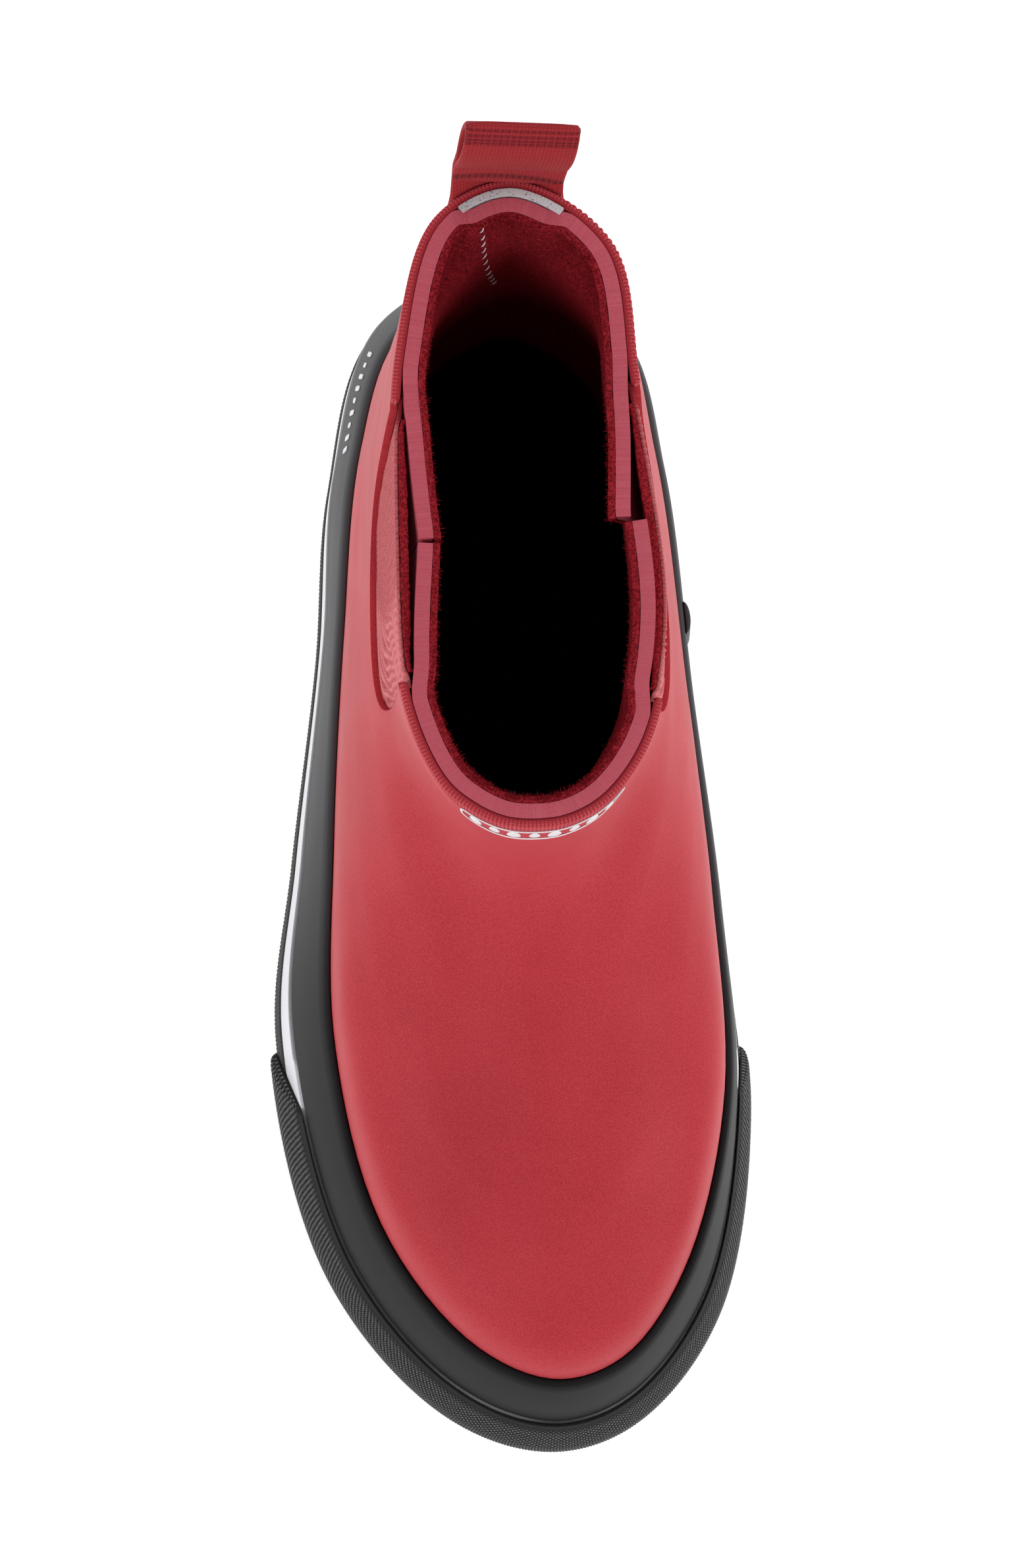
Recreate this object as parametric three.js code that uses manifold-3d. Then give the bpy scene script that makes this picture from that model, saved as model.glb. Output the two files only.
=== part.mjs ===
// Ankle-high rubber rain boot with elastic side gores, for the right foot.
// Millimetres. +Z is up, the toe points to -Y and the inner side of the foot is +X.
import * as THREE from "three";
import { mergeVertices } from "three/addons/utils/BufferGeometryUtils.js";
import Module from "manifold-3d";

const wasm = await Module();
wasm.setup();

// ---- Driving dimensions ----
const LAST_LENGTH = 247; // toe to heel of the upper, at the top of the foxing
const LAST_WIDTH = 86.5; // across the ball, at the top of the foxing
const COLLAR_HEIGHT = 147; // front of the collar above the ground
const OUTSOLE_THICKNESS = 9;
const TAPE_TOP = 21; // top of the white sidewall tape
const BEAD_HEIGHT = 2.4;
const FOXING_TOP = 44;
const FOXING_LEDGE = 1.6; // thickness of the foxing's top edge
const TOE_SPRING = 5; // how far the sole lifts at the tip of the toe
const SPRING_START = -55; // where the sole leaves the ground, measured along Y
const CORE_TOP = 14;
const BOARD_THICKNESS = 2;
const SHELL = 1.5; // rubber wall
const STIFFENER = 0.7; // toe puff and heel counter
const FOAM = 3;
const LINING = 1.4;
const TRIM = 1.4;
const TRIM_HEIGHT = 0.095; // in rows of rings, below the collar's edge
const GORE = 0.8;
const GORE_INSET = 0.4;
const GORE_BACKING = 0.9;
const SLIT_DEPTH = 38;
const SLIT_WIDTH = 1.2;
const HEEL_TAPE = 1.7;
const FOOTBED_FOAM = 4;
const FOOTBED_COVER = 0.8;
const FOOTBED_PLAY = 1.0;
const BUMPER_TOE = 4; // thickness at the tip of the toe
const BUMPER_END = 1.8;
const BUMPER_BOTTOM = 1.5;
const WEBBING = 1.5;
const TAB_WIDTH = 22.8;
const TAB_HEIGHT = 19.2; // of the free loop, above its hinge line
const TAB_DEPTH = 12; // across the open loop
const TAB_LEAN = THREE.MathUtils.degToRad(13); // backwards
const TAB_TILT = THREE.MathUtils.degToRad(5); // towards the inner side
const BADGE = 0.3;
const GROOVE_PITCH = 12;
const GROOVE_WIDTH = 3;
const GROOVE_DEPTH = 2.5;
const GAP = 0.32; // between pieces that touch

// ---- The last: closed rings of 16 stations each, for the sample size ----
// A ring runs from the toe round the inner side to the heel and back round the outer side.
// rise is the height above the foxing line, from the front station to the back one.
const SAMPLE_LENGTH = 247;
const SAMPLE_WIDTH = 86.5;
const SAMPLE_RISE = 103;
const LEVEL = [0, 0, 0, 0, 0, 0, 0, 0, 0];
const SOLE_EDGE = {
  rise: LEVEL,
  outline: [
    [9, -129.8], [27, -124], [45, -101.5], [53.2, -57], [49, -14], [42, 35], [36.3, 88], [26.5, 123],
    [-2, 138.3], [-32, 125.6], [-42.3, 88], [-44.7, 48], [-49.9, 0], [-53, -40], [-39, -93], [-13, -122.5],
  ],
};
const BEAD_LINE = {
  rise: LEVEL,
  outline: [
    [9, -127.3], [26, -121.5], [43, -99], [50.8, -57], [47.4, -12], [41.1, 35], [35, 88], [25.5, 121],
    [-2, 136.5], [-30.6, 123.8], [-41, 88], [-43, 50], [-47.6, 0], [-49.8, -40], [-36, -92], [-12, -119.8],
  ],
};
const FOXING_LINE = {
  rise: LEVEL,
  outline: [
    [9, -117.9], [24, -112.5], [37.5, -92.5], [46, -56], [43.6, -12], [37.8, 35], [31.6, 86], [22.6, 116],
    [-2, 129], [-26.5, 115], [-35.2, 88], [-38.5, 48], [-40.5, 0], [-40, -45], [-29, -85.5], [-9, -110.6],
  ],
};
const TOE_SHOULDER = {
  rise: [11, 11.5, 13, 16, 18, 20, 22, 22, 22],
  outline: [
    [9, -111], [22.5, -106], [35, -88], [43.5, -53], [41.8, -12], [36.4, 35], [29.7, 85], [21.5, 113.5],
    [-2, 126.5], [-25.5, 112.5], [-34.4, 87], [-37.6, 47], [-39.3, 0], [-37.8, -43], [-26.5, -80.5], [-7.5, -104],
  ],
};
const TOE_CROWN = {
  rise: [18.5, 19, 22, 27, 32, 36, 40, 40, 40],
  outline: [
    [8, -92], [17, -88], [26, -72], [35, -42], [37.2, -5], [33.8, 36], [27.7, 83], [20.5, 110],
    [-2.5, 122.5], [-25, 109.5], [-33, 85], [-35.5, 46], [-36, 2], [-31.5, -36], [-20, -65], [-4, -84.5],
  ],
};
const INSTEP = {
  rise: [29, 29.5, 33, 41, 48, 55, 60, 60, 60],
  outline: [
    [4, -58], [9, -56], [15, -46], [23, -25], [30, 2], [30.5, 36], [25.2, 80], [19.5, 106.5],
    [-3, 118.8], [-25, 106.5], [-31.8, 83], [-33.3, 45], [-31, 5], [-23.5, -22], [-12, -42], [-2, -54.5],
  ],
};
const ANKLE = {
  rise: [57, 57, 58.5, 62, 67, 73, 80, 82, 82],
  outline: [
    [0.5, -16.8], [5, -16], [11, -12.6], [18, -2.6], [25.5, 13], [28, 40], [22.9, 80], [18, 104.6],
    [-4, 118], [-24, 105.5], [-30.5, 82], [-31.5, 45], [-27.2, 14], [-18.4, -2.6], [-10, -12.8], [-4.4, -16.1],
  ],
};
const COLLAR = {
  rise: [103, 103, 103, 103, 102.5, 102, 105, 108.5, 110],
  outline: [
    [0, -9.9], [6.5, -8.9], [13.5, -5.2], [20, 2.3], [24.6, 13], [27.4, 36], [20.8, 80], [15, 108.5],
    [-5, 120.6], [-21, 113], [-28.3, 87], [-29.2, 48], [-26.8, 16], [-19.5, -1], [-13, -6.6], [-6.5, -9.4],
  ],
};
const STATIONS = 16;
const GRADE = new THREE.Vector3(
  LAST_WIDTH / SAMPLE_WIDTH,
  LAST_LENGTH / SAMPLE_LENGTH,
  (COLLAR_HEIGHT - FOXING_TOP) / SAMPLE_RISE,
);

function ringCurve({ rise, outline }) {
  const points = outline.map(([x, y], i) => {
    const height = rise[Math.min(i, STATIONS - i)];
    return new THREE.Vector3(x, y, height).multiply(GRADE);
  });
  return new THREE.CatmullRomCurve3(points, true, "centripetal");
}

const upperRings = [FOXING_LINE, TOE_SHOULDER, TOE_CROWN, INSTEP, ANKLE, COLLAR].map(ringCurve);
const soleEdge = ringCurve(SOLE_EDGE);
const beadLine = ringCurve(BEAD_LINE);
const TOP_ROW = upperRings.length - 1; // row number of the collar's edge
const BOTTOM_ROW = -1; // row number of the shell's lower edge
const SHELL_BOTTOM = CORE_TOP + GAP;

const turn = (u) => ((u % 1) + 1) % 1;
const lerp = THREE.MathUtils.lerp;
const smoothstep = THREE.MathUtils.smoothstep;

// A point of the upper's outer surface: u runs once round, v counts the rings up from the foxing line.
function wall(u, v) {
  const foot = upperRings[0].getPoint(turn(u));
  if (v < 0) {
    foot.z = lerp(FOXING_TOP, SHELL_BOTTOM, -v);
    return foot;
  }
  const meridian = upperRings.map((ring) => ring.getPoint(turn(u)));
  meridian.unshift(foot.clone().setZ(-SAMPLE_RISE / 8));
  const curve = new THREE.CatmullRomCurve3(meridian, false, "centripetal");
  const point = curve.getPoint((v + 1) / (TOP_ROW + 1));
  point.z += FOXING_TOP;
  return point;
}

function wallNormal(u, v) {
  const step = 0.004;
  const around = wall(u + step, v).sub(wall(u - step, v));
  const up = wall(u, Math.min(v + step, TOP_ROW)).sub(wall(u, Math.min(v - step, TOP_ROW - step)));
  return around.cross(up).normalize();
}

// A point inside the outer surface by depth, or outside it where depth is negative.
const skin = (u, v, depth) => wall(u, v).addScaledVector(wallNormal(u, v), -depth);

const rowAtHeight = (z) => (z - FOXING_TOP) / (FOXING_TOP - SHELL_BOTTOM);

// The sole's outer side: flares from the bead line out to the sole's edge, and in to the foxing's ledge.
function side(u, z, proud) {
  const beadTop = TAPE_TOP + BEAD_HEIGHT;
  const bead = beadLine.getPoint(turn(u));
  const point = new THREE.Vector3();
  if (z <= beadTop) {
    point.lerpVectors(bead, soleEdge.getPoint(turn(u)), (beadTop - z) / (beadTop - OUTSOLE_THICKNESS / 2));
  } else {
    const ledge = skin(u, BOTTOM_ROW, -FOXING_LEDGE - GAP);
    point.lerpVectors(bead, ledge, (z - beadTop) / (FOXING_TOP - beadTop));
  }
  point.addScaledVector(wallNormal(u, BOTTOM_ROW), proud);
  return point.setZ(z);
}

// ---- Columns and rows of the grids ----
const SLITS = { left: 0.6875, right: 0.3385 };
const SLIT_EDGE = 0.003;
const COLUMNS = 40;

function columns(from, to) {
  const edges = Object.values(SLITS).flatMap((u) => [u - SLIT_EDGE, u + SLIT_EDGE]);
  const even = Array.from({ length: 2 * COLUMNS }, (_, i) => i / COLUMNS - 1);
  const free = even.filter((u) => edges.every((edge) => Math.abs(turn(u) - edge) > 2 * SLIT_EDGE));
  const all = [...free, ...edges, ...edges.map((u) => u - 1)];
  const inside = all.filter((u) => u > from + SLIT_EDGE && u < to - SLIT_EDGE);
  return [from, ...inside, to].sort((a, b) => a - b);
}

const AROUND = columns(0, 1).slice(0, -1);
const evenSteps = (from, to, count) => Array.from({ length: count + 1 }, (_, i) => lerp(from, to, i / count));

// ---- Solids ----
function meshFrom(points, quads) {
  const geometry = new THREE.BufferGeometry();
  const triangles = quads.flatMap((q) => (q.length === 3 ? q : [q[0], q[1], q[2], q[0], q[2], q[3]]));
  geometry.setAttribute("position", new THREE.Float32BufferAttribute(points.flatMap((p) => p.toArray()), 3));
  geometry.setIndex(triangles);
  return geometry;
}

// A sheet with thickness between an outer and an inner surface; it closes on itself when ring is true.
function sheetSolid(us, vs, outer, inner, ring) {
  const across = us.length;
  const up = vs.length;
  const points = [...vs.flatMap((v) => us.map((u) => outer(u, v))), ...vs.flatMap((v) => us.map((u) => inner(u, v)))];
  const out = (i, j) => j * across + (i % across);
  const into = (i, j) => across * up + out(i, j);
  const last = ring ? across : across - 1;
  const quads = [];
  for (let i = 0; i < last; i++) {
    for (let j = 0; j < up - 1; j++) {
      quads.push([out(i, j), out(i + 1, j), out(i + 1, j + 1), out(i, j + 1)]);
      quads.push([into(i, j), into(i, j + 1), into(i + 1, j + 1), into(i + 1, j)]);
    }
    quads.push([out(i + 1, 0), out(i, 0), into(i, 0), into(i + 1, 0)]);
    quads.push([out(i, up - 1), out(i + 1, up - 1), into(i + 1, up - 1), into(i, up - 1)]);
  }
  for (let j = 0; j < up - 1 && !ring; j++) {
    quads.push([out(0, j), out(0, j + 1), into(0, j + 1), into(0, j)]);
    quads.push([out(last, j + 1), out(last, j), into(last, j), into(last, j + 1)]);
  }
  return meshFrom(points, quads);
}

// A flat plate between two rings of the same columns, closed by rungs from one side to the other.
function plateSolid(lower, upper) {
  const count = lower.length;
  const half = Math.floor(count / 2);
  const quads = [];
  for (let i = 0; i < count; i++) {
    const next = (i + 1) % count;
    quads.push([i, next, count + next, count + i]);
  }
  for (let i = 0; i < half; i++) {
    const right = [i, i + 1];
    const left = [(count - i - 1) % count, (count - i) % count];
    const rung = [...new Set([...right, ...left])];
    quads.push(rung.map((n) => n + count));
    quads.push([...rung].reverse());
  }
  return meshFrom([...lower, ...upper], quads);
}

const ringAt = (depth, z) => evenSteps(0, 1, COLUMNS).slice(0, -1).map((u) => skin(u, BOTTOM_ROW, depth).setZ(z));
const plateAt = (depth, low, high) => plateSolid(ringAt(depth, low), ringAt(depth, high));

function toManifold(geometry) {
  const bare = geometry.clone();
  bare.deleteAttribute("normal");
  bare.deleteAttribute("uv");
  const merged = mergeVertices(bare, 1e-4);
  const mesh = new wasm.Mesh({
    numProp: 3,
    vertProperties: new Float32Array(merged.attributes.position.array),
    triVerts: new Uint32Array(merged.index.array),
  });
  return new wasm.Manifold(mesh);
}

function cut(geometry, tools) {
  let solid = toManifold(geometry);
  for (const tool of tools) {
    solid = solid.subtract(toManifold(tool));
  }
  const { vertProperties, triVerts } = solid.getMesh();
  const result = new THREE.BufferGeometry();
  result.setAttribute("position", new THREE.BufferAttribute(vertProperties, 3));
  result.setIndex(new THREE.BufferAttribute(triVerts, 1));
  return result;
}

const boot = new THREE.Group();

function add(name, geometry, color, roughness) {
  const position = geometry.attributes.position;
  for (let i = 0; i < position.count; i++) {
    const past = Math.max(0, SPRING_START - position.getY(i));
    const reach = LAST_LENGTH / 2 + SPRING_START;
    position.setZ(i, position.getZ(i) + TOE_SPRING * (past / reach) ** 2 * 0.75);
  }
  const flat = geometry.toNonIndexed();
  flat.computeVertexNormals();
  const mesh = new THREE.Mesh(flat, new THREE.MeshStandardMaterial({ color, roughness, metalness: 0 }));
  mesh.name = name;
  boot.add(mesh);
}

const RED_RUBBER = 0xb84852;
const RED_KNIT = 0xa8343c;
const RED_FLEECE = 0x6e1018;
const PINK_FOAM = 0xcd6678;
const CHARCOAL = 0x3a3a3b;
const BLACK = 0x1c1c1d;
const WHITE = 0xe6e8ee;
const GREY = 0xa6a6a8;

// ---- Sole unit ----
function outsole() {
  const at = (z) => evenSteps(0, 1, COLUMNS).slice(0, -1).map((u) => side(u, z, 0));
  const body = plateSolid(at(0), at(OUTSOLE_THICKNESS));
  const grooves = [];
  const reach = LAST_LENGTH / 2;
  for (let y = -reach + GROOVE_PITCH / 2; y < reach; y += GROOVE_PITCH) {
    const groove = new THREE.BoxGeometry(2 * LAST_WIDTH, GROOVE_WIDTH, 2 * GROOVE_DEPTH);
    groove.translate(0, y, 0);
    grooves.push(groove);
  }
  add("outsole", cut(body, grooves), BLACK, 0.8);
}

function sideStrip(name, low, high, rows, proud, color) {
  const outer = (u, z) => side(u, z, proud(z));
  const inner = (u, z) => skin(u, BOTTOM_ROW, -GAP).setZ(z);
  const us = evenSteps(0, 1, COLUMNS).slice(0, -1);
  add(name, sheetSolid(us, evenSteps(low, high, rows), outer, inner, true), color, 0.55);
}

const BEAD_BOTTOM = TAPE_TOP + GAP;
const BEAD_TOP = TAPE_TOP + BEAD_HEIGHT;
const FOXING_BOTTOM = BEAD_TOP + GAP;
const BUMPER_RANGE = { from: -0.185, to: 0.212, slant: 0.02 };

function toeBumper() {
  const top = BEAD_TOP + GAP;
  const thickness = (u, z) => {
    const along = Math.cos((Math.PI / 2) * Math.min(1, Math.abs(u) / BUMPER_RANGE.to));
    const bulge = Math.sin(Math.PI * lerp(0.2, 0.9, (z - BUMPER_BOTTOM) / (top - BUMPER_BOTTOM)));
    return lerp(BUMPER_END, BUMPER_TOE, along) * lerp(0.55, 1, bulge);
  };
  const slanted = (u, z) => {
    const end = u < 0 ? BUMPER_RANGE.from : BUMPER_RANGE.to;
    return u * (1 - (BUMPER_RANGE.slant / Math.abs(end)) * (z / top));
  };
  const outer = (u, z) => side(slanted(u, z), z, GAP + thickness(u, z));
  const inner = (u, z) => side(slanted(u, z), z, GAP);
  const us = evenSteps(BUMPER_RANGE.from, BUMPER_RANGE.to, 24);
  add("toe_bumper", sheetSolid(us, evenSteps(BUMPER_BOTTOM, top, 4), outer, inner, false), BLACK, 0.75);
}

function foxingJoint() {
  const centre = 0.3325;
  const halfWidth = 0.0042;
  const outer = (u, z) => side(u, z, GAP + 1.3 * Math.cos(((u - centre) / halfWidth) * 1.1));
  const inner = (u, z) => side(u, z, GAP);
  const us = evenSteps(centre - halfWidth, centre + halfWidth, 4);
  const zs = evenSteps(FOXING_BOTTOM + 1, FOXING_TOP - 1, 2);
  add("foxing_joint", sheetSolid(us, zs, outer, inner, false), CHARCOAL, 0.6);
}

outsole();
add("midsole_core", plateAt(0, OUTSOLE_THICKNESS + GAP, CORE_TOP), WHITE, 0.9);
sideStrip("sidewall_tape", OUTSOLE_THICKNESS + GAP, TAPE_TOP, 1, () => 0, WHITE);
sideStrip("pinstripe_bead", BEAD_BOTTOM, BEAD_TOP, 2, () => -0.2, GREY);
sideStrip("foxing_band", FOXING_BOTTOM, FOXING_TOP, 2, () => -0.1, CHARCOAL);
toeBumper();
foxingJoint();

// ---- Gores and the cuts that they fill ----
const GORES = {
  left: { low: 3.08, high: TOP_ROW - 0.07, centre: 0.692, rear: 0.644, front: 0.742 },
  right: { low: 3.08, high: TOP_ROW - 0.07, centre: 0.325, rear: 0.374, front: 0.261 },
};

function goreU({ low, high, centre, rear, front }, across, v, margin) {
  const t = THREE.MathUtils.clamp((v - low) / (high - low), 0, 1);
  const spread = 0.4 + 0.6 * (1 - (1 - t) ** 2.5);
  const start = Math.min(rear, front);
  const end = Math.max(rear, front);
  return lerp(lerp(centre, start, spread) - margin, lerp(centre, end, spread) + margin, across);
}

function gorePatch(gore, low, high, shallow, deep, margin) {
  const at = (depth) => (across, v) => skin(goreU(gore, across, v, margin), v, depth);
  return sheetSolid(evenSteps(0, 1, 8), evenSteps(low, high, 6), at(shallow), at(deep), false);
}

function goreCut(gore) {
  const at = (depth) => (across, v) => {
    const point = skin(goreU(gore, across, Math.min(v, gore.high), 0.0009), Math.min(v, TOP_ROW), depth);
    point.z += Math.max(0, v - TOP_ROW) * SAMPLE_RISE;
    return point;
  };
  const rows = [...evenSteps(gore.low - 0.03, gore.high, 6), TOP_ROW, TOP_ROW + 0.2];
  return sheetSolid(evenSteps(0, 1, 8), rows, at(-1.5), at(SHELL + 0.6), false);
}

for (const [sideName, gore] of Object.entries(GORES)) {
  const panel = gorePatch(gore, gore.low, gore.high, GORE_INSET, GORE_INSET + GORE, 0);
  add("gore_" + sideName, panel, RED_KNIT, 0.9);
  const backOut = GORE_INSET + GORE + GAP;
  const backing = gorePatch(gore, TOP_ROW - 0.9, gore.high, backOut, backOut + GORE_BACKING, -0.0045);
  add("gore_backing_" + sideName, backing, RED_FLEECE, 1);
}

// ---- Upper ----
const BADGE_ROWS = [TOP_ROW - 0.24, TOP_ROW - 0.12];
const SHELL_TOP = TOP_ROW - TRIM_HEIGHT;
const UPPER_ROWS = [0, 0.45, 1, 1.7, 2.4, 3, 3.5, 4.05, TOP_ROW - 0.48, ...BADGE_ROWS, SHELL_TOP];
const SHELL_ROWS = [BOTTOM_ROW, ...UPPER_ROWS];
const shellSheet = sheetSolid(AROUND, SHELL_ROWS, wall, (u, v) => skin(u, v, SHELL), true);
add("rubber_shell", cut(shellSheet, Object.values(GORES).map(goreCut)), RED_RUBBER, 0.5);

const TRIM_GAP = 0.014;
function trim(name, from, to) {
  const rows = [SHELL_TOP + TRIM_GAP, TOP_ROW];
  const inner = (u, v) => skin(u, v, TRIM);
  add(name, sheetSolid(columns(from, to), rows, wall, inner, false), RED_KNIT, 0.9);
}
const END_GAP = 0.0012;
trim("collar_trim_front", GORES.left.front + END_GAP - 1, GORES.right.front - END_GAP);
trim("collar_trim_rear", GORES.right.rear + END_GAP, GORES.left.rear - END_GAP);

const stiffenerOut = SHELL + GAP;
function stiffener(name, from, to, top) {
  const rows = [rowAtHeight(CORE_TOP + BOARD_THICKNESS + 3 * GAP), ...UPPER_ROWS.filter((row) => row < top), top];
  const at = (depth) => (u, v) => skin(u, v, depth);
  const sheet = sheetSolid(columns(from, to), rows, at(stiffenerOut), at(stiffenerOut + STIFFENER), false);
  add(name, sheet, GREY, 0.8);
}
stiffener("toe_puff", -0.175, 0.175, 1);
stiffener("heel_counter", 0.4, 0.6, 1);

// ---- Foam liner and lining ----
// How deep the foam's outer face lies below the outer surface: even low down, and at the collar
// close behind the trim, behind the heel tape, and pulled in where the side slits open.
const FOAM_DEPTH = stiffenerOut + STIFFENER + GAP;
const TRIM_DEPTH = Math.max(TRIM, SHELL) + GAP; // behind the trim and the shell's top alike
const TAPE_DEPTH = TRIM_DEPTH + HEEL_TAPE + GAP;
const GORE_CLEAR = GORE_INSET + GORE + GORE_BACKING + 2 * GAP;
const TAPE_RANGE = { from: 0.47, to: 0.542 };
const COLLAR_DEPTHS = [
  [0, TRIM_DEPTH],
  [GORES.right.front - 0.006, TRIM_DEPTH],
  [GORES.right.front + 0.006, GORE_CLEAR],
  [SLITS.right - SLIT_EDGE, GORE_CLEAR],
  [SLITS.right + SLIT_EDGE, 6.4],
  [GORES.right.rear - 0.006, GORE_CLEAR],
  [GORES.right.rear + 0.008, TRIM_DEPTH],
  [TAPE_RANGE.from - 0.016, TRIM_DEPTH],
  [TAPE_RANGE.from - 0.004, TAPE_DEPTH],
  [TAPE_RANGE.to + 0.004, TAPE_DEPTH],
  [TAPE_RANGE.to + 0.016, TRIM_DEPTH],
  [GORES.left.rear - 0.008, TRIM_DEPTH],
  [GORES.left.rear + 0.006, GORE_CLEAR],
  [SLITS.left - SLIT_EDGE, 5.6],
  [SLITS.left + SLIT_EDGE, 5.4],
  [GORES.left.front - 0.006, GORE_CLEAR],
  [GORES.left.front + 0.006, TRIM_DEPTH],
  [1, TRIM_DEPTH],
];

function foamDepth(u, v) {
  const place = turn(u);
  const next = COLLAR_DEPTHS.findIndex(([knot]) => knot > place);
  const [u0, d0] = COLLAR_DEPTHS[next - 1];
  const [u1, d1] = COLLAR_DEPTHS[next];
  const atCollar = lerp(d0, d1, (place - u0) / (u1 - u0));
  return lerp(FOAM_DEPTH, atCollar, smoothstep(v, TOP_ROW - 1, TOP_ROW - 0.1));
}

const LINER_BOTTOM = rowAtHeight(CORE_TOP + BOARD_THICKNESS + 2 * GAP);
const LINER_ROWS = [LINER_BOTTOM, ...UPPER_ROWS, TOP_ROW];

function slitCut(u, depth) {
  const at = skin(u, TOP_ROW, depth);
  const box = new THREE.BoxGeometry(16, SLIT_WIDTH, 2 * SLIT_DEPTH);
  return box.translate(at.x, at.y, at.z);
}

function liner(name, depth, thickness, color) {
  const at = (extra) => (u, v) => skin(u, v, foamDepth(u, v) + depth + extra);
  const sheet = sheetSolid(AROUND, LINER_ROWS, at(0), at(thickness), true);
  const slits = Object.values(SLITS).map((u) => slitCut(u, foamDepth(u, TOP_ROW) + depth));
  add(name, cut(sheet, slits), color, 1);
}
liner("foam_liner", 0, FOAM, PINK_FOAM);
liner("lining_sock", FOAM + GAP, LINING, RED_FLEECE);

function heelTape() {
  const at = (depth) => (u, v) => skin(u, v, depth);
  const us = columns(TAPE_RANGE.from, TAPE_RANGE.to);
  const rows = [SHELL_TOP + TRIM_GAP, TOP_ROW];
  const sheet = sheetSolid(us, rows, at(TRIM_DEPTH), at(TRIM_DEPTH + HEEL_TAPE), false);
  add("heel_tape", sheet, GREY, 0.6);
}
heelTape();

// ---- Insole and footbed ----
const boardBottom = CORE_TOP + GAP;
add("insole_board", plateAt(SHELL + GAP, boardBottom, boardBottom + BOARD_THICKNESS), GREY, 0.9);
const footbedDepth = FOAM_DEPTH + FOAM + GAP + LINING + FOOTBED_PLAY;
const footbedBottom = boardBottom + BOARD_THICKNESS + GAP;
const footbedTop = footbedBottom + FOOTBED_FOAM;
add("footbed_foam", plateAt(footbedDepth, footbedBottom, footbedTop), BLACK, 0.95);
add("footbed_cover", plateAt(footbedDepth, footbedTop + GAP, footbedTop + GAP + FOOTBED_COVER), BLACK, 0.95);

// ---- Pull tab ----
const ANCHOR_RANGE = { from: 0.4665, to: 0.5455 };
function tabAnchor() {
  const at = (depth) => (u, v) => skin(u, v, depth);
  const us = columns(ANCHOR_RANGE.from, ANCHOR_RANGE.to);
  const rows = evenSteps(TOP_ROW - 0.62, TOP_ROW - 0.05, 3);
  const sheet = sheetSolid(us, rows, at(-GAP - WEBBING), at(-GAP), false);
  add("pull_tab_anchor", sheet, RED_KNIT, 0.85);
}

// The free loop: a band that closes at its foot, where it turns about the hinge line.
function tabLoop() {
  const foot = WEBBING + 0.1;
  const swell = (s) => Math.sin(Math.PI * Math.min(1, s ** 1.25) * 0.86);
  const outline = (inset) => {
    const points = [];
    const low = -foot + inset * 2.2;
    const high = TAB_HEIGHT - inset;
    for (let i = 0; i <= 10; i++) {
      const s = i / 10;
      const wide = Math.max(0.4, (TAB_DEPTH / 2) * swell(s) + foot * (1 - s) ** 2 - inset);
      points.push(new THREE.Vector2(wide * Math.sqrt(1 - s ** 6), lerp(low, high, s)));
    }
    return [...points, ...points.slice(0, -1).reverse().map((p) => new THREE.Vector2(-p.x, p.y))];
  };
  const shape = new THREE.Shape(outline(0));
  shape.holes.push(new THREE.Path(outline(WEBBING)));
  const band = new THREE.ExtrudeGeometry(shape, { depth: TAB_WIDTH, bevelEnabled: false });
  band.translate(0, 0, -TAB_WIDTH / 2);
  band.applyMatrix4(new THREE.Matrix4().makeBasis(
    new THREE.Vector3(0, 1, 0),
    new THREE.Vector3(0, 0, 1),
    new THREE.Vector3(1, 0, 0),
  ));
  band.rotateX(-TAB_LEAN);
  band.rotateY(TAB_TILT);
  const middle = (ANCHOR_RANGE.from + ANCHOR_RANGE.to) / 2;
  const hinge = skin(middle, TOP_ROW, -GAP - WEBBING / 2);
  const swing = foot + (TAB_WIDTH / 2) * Math.sin(TAB_TILT) + GAP;
  band.translate(hinge.x, hinge.y, hinge.z + swing);
  band.deleteAttribute("normal");
  band.deleteAttribute("uv");
  add("pull_tab_loop", mergeVertices(band, 1e-4), RED_KNIT, 0.85);
}
tabAnchor();
tabLoop();

// ---- Badge on the front of the shaft ----
function frontBadge() {
  const at = (depth) => (u, v) => skin(u, v, depth);
  const sheet = sheetSolid(columns(-5 / COLUMNS, 7 / COLUMNS), BADGE_ROWS, at(-GAP - BADGE), at(-GAP), false);
  add("front_badge", sheet, WHITE, 0.5);
}
frontBadge();

// The origin is the middle of the boot's box, on the ground.
boot.updateMatrixWorld(true);
const box = new THREE.Box3().setFromObject(boot);
const middle = box.getCenter(new THREE.Vector3());
for (const mesh of boot.children) {
  mesh.geometry.translate(-middle.x, -middle.y, -box.min.z);
}

export default boot;
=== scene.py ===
"""The looks of an ankle-high rubber rain boot with elastic side gores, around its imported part."""
import math

import bmesh
import bpy
import numpy as np
from mathutils import Matrix, Vector


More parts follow.
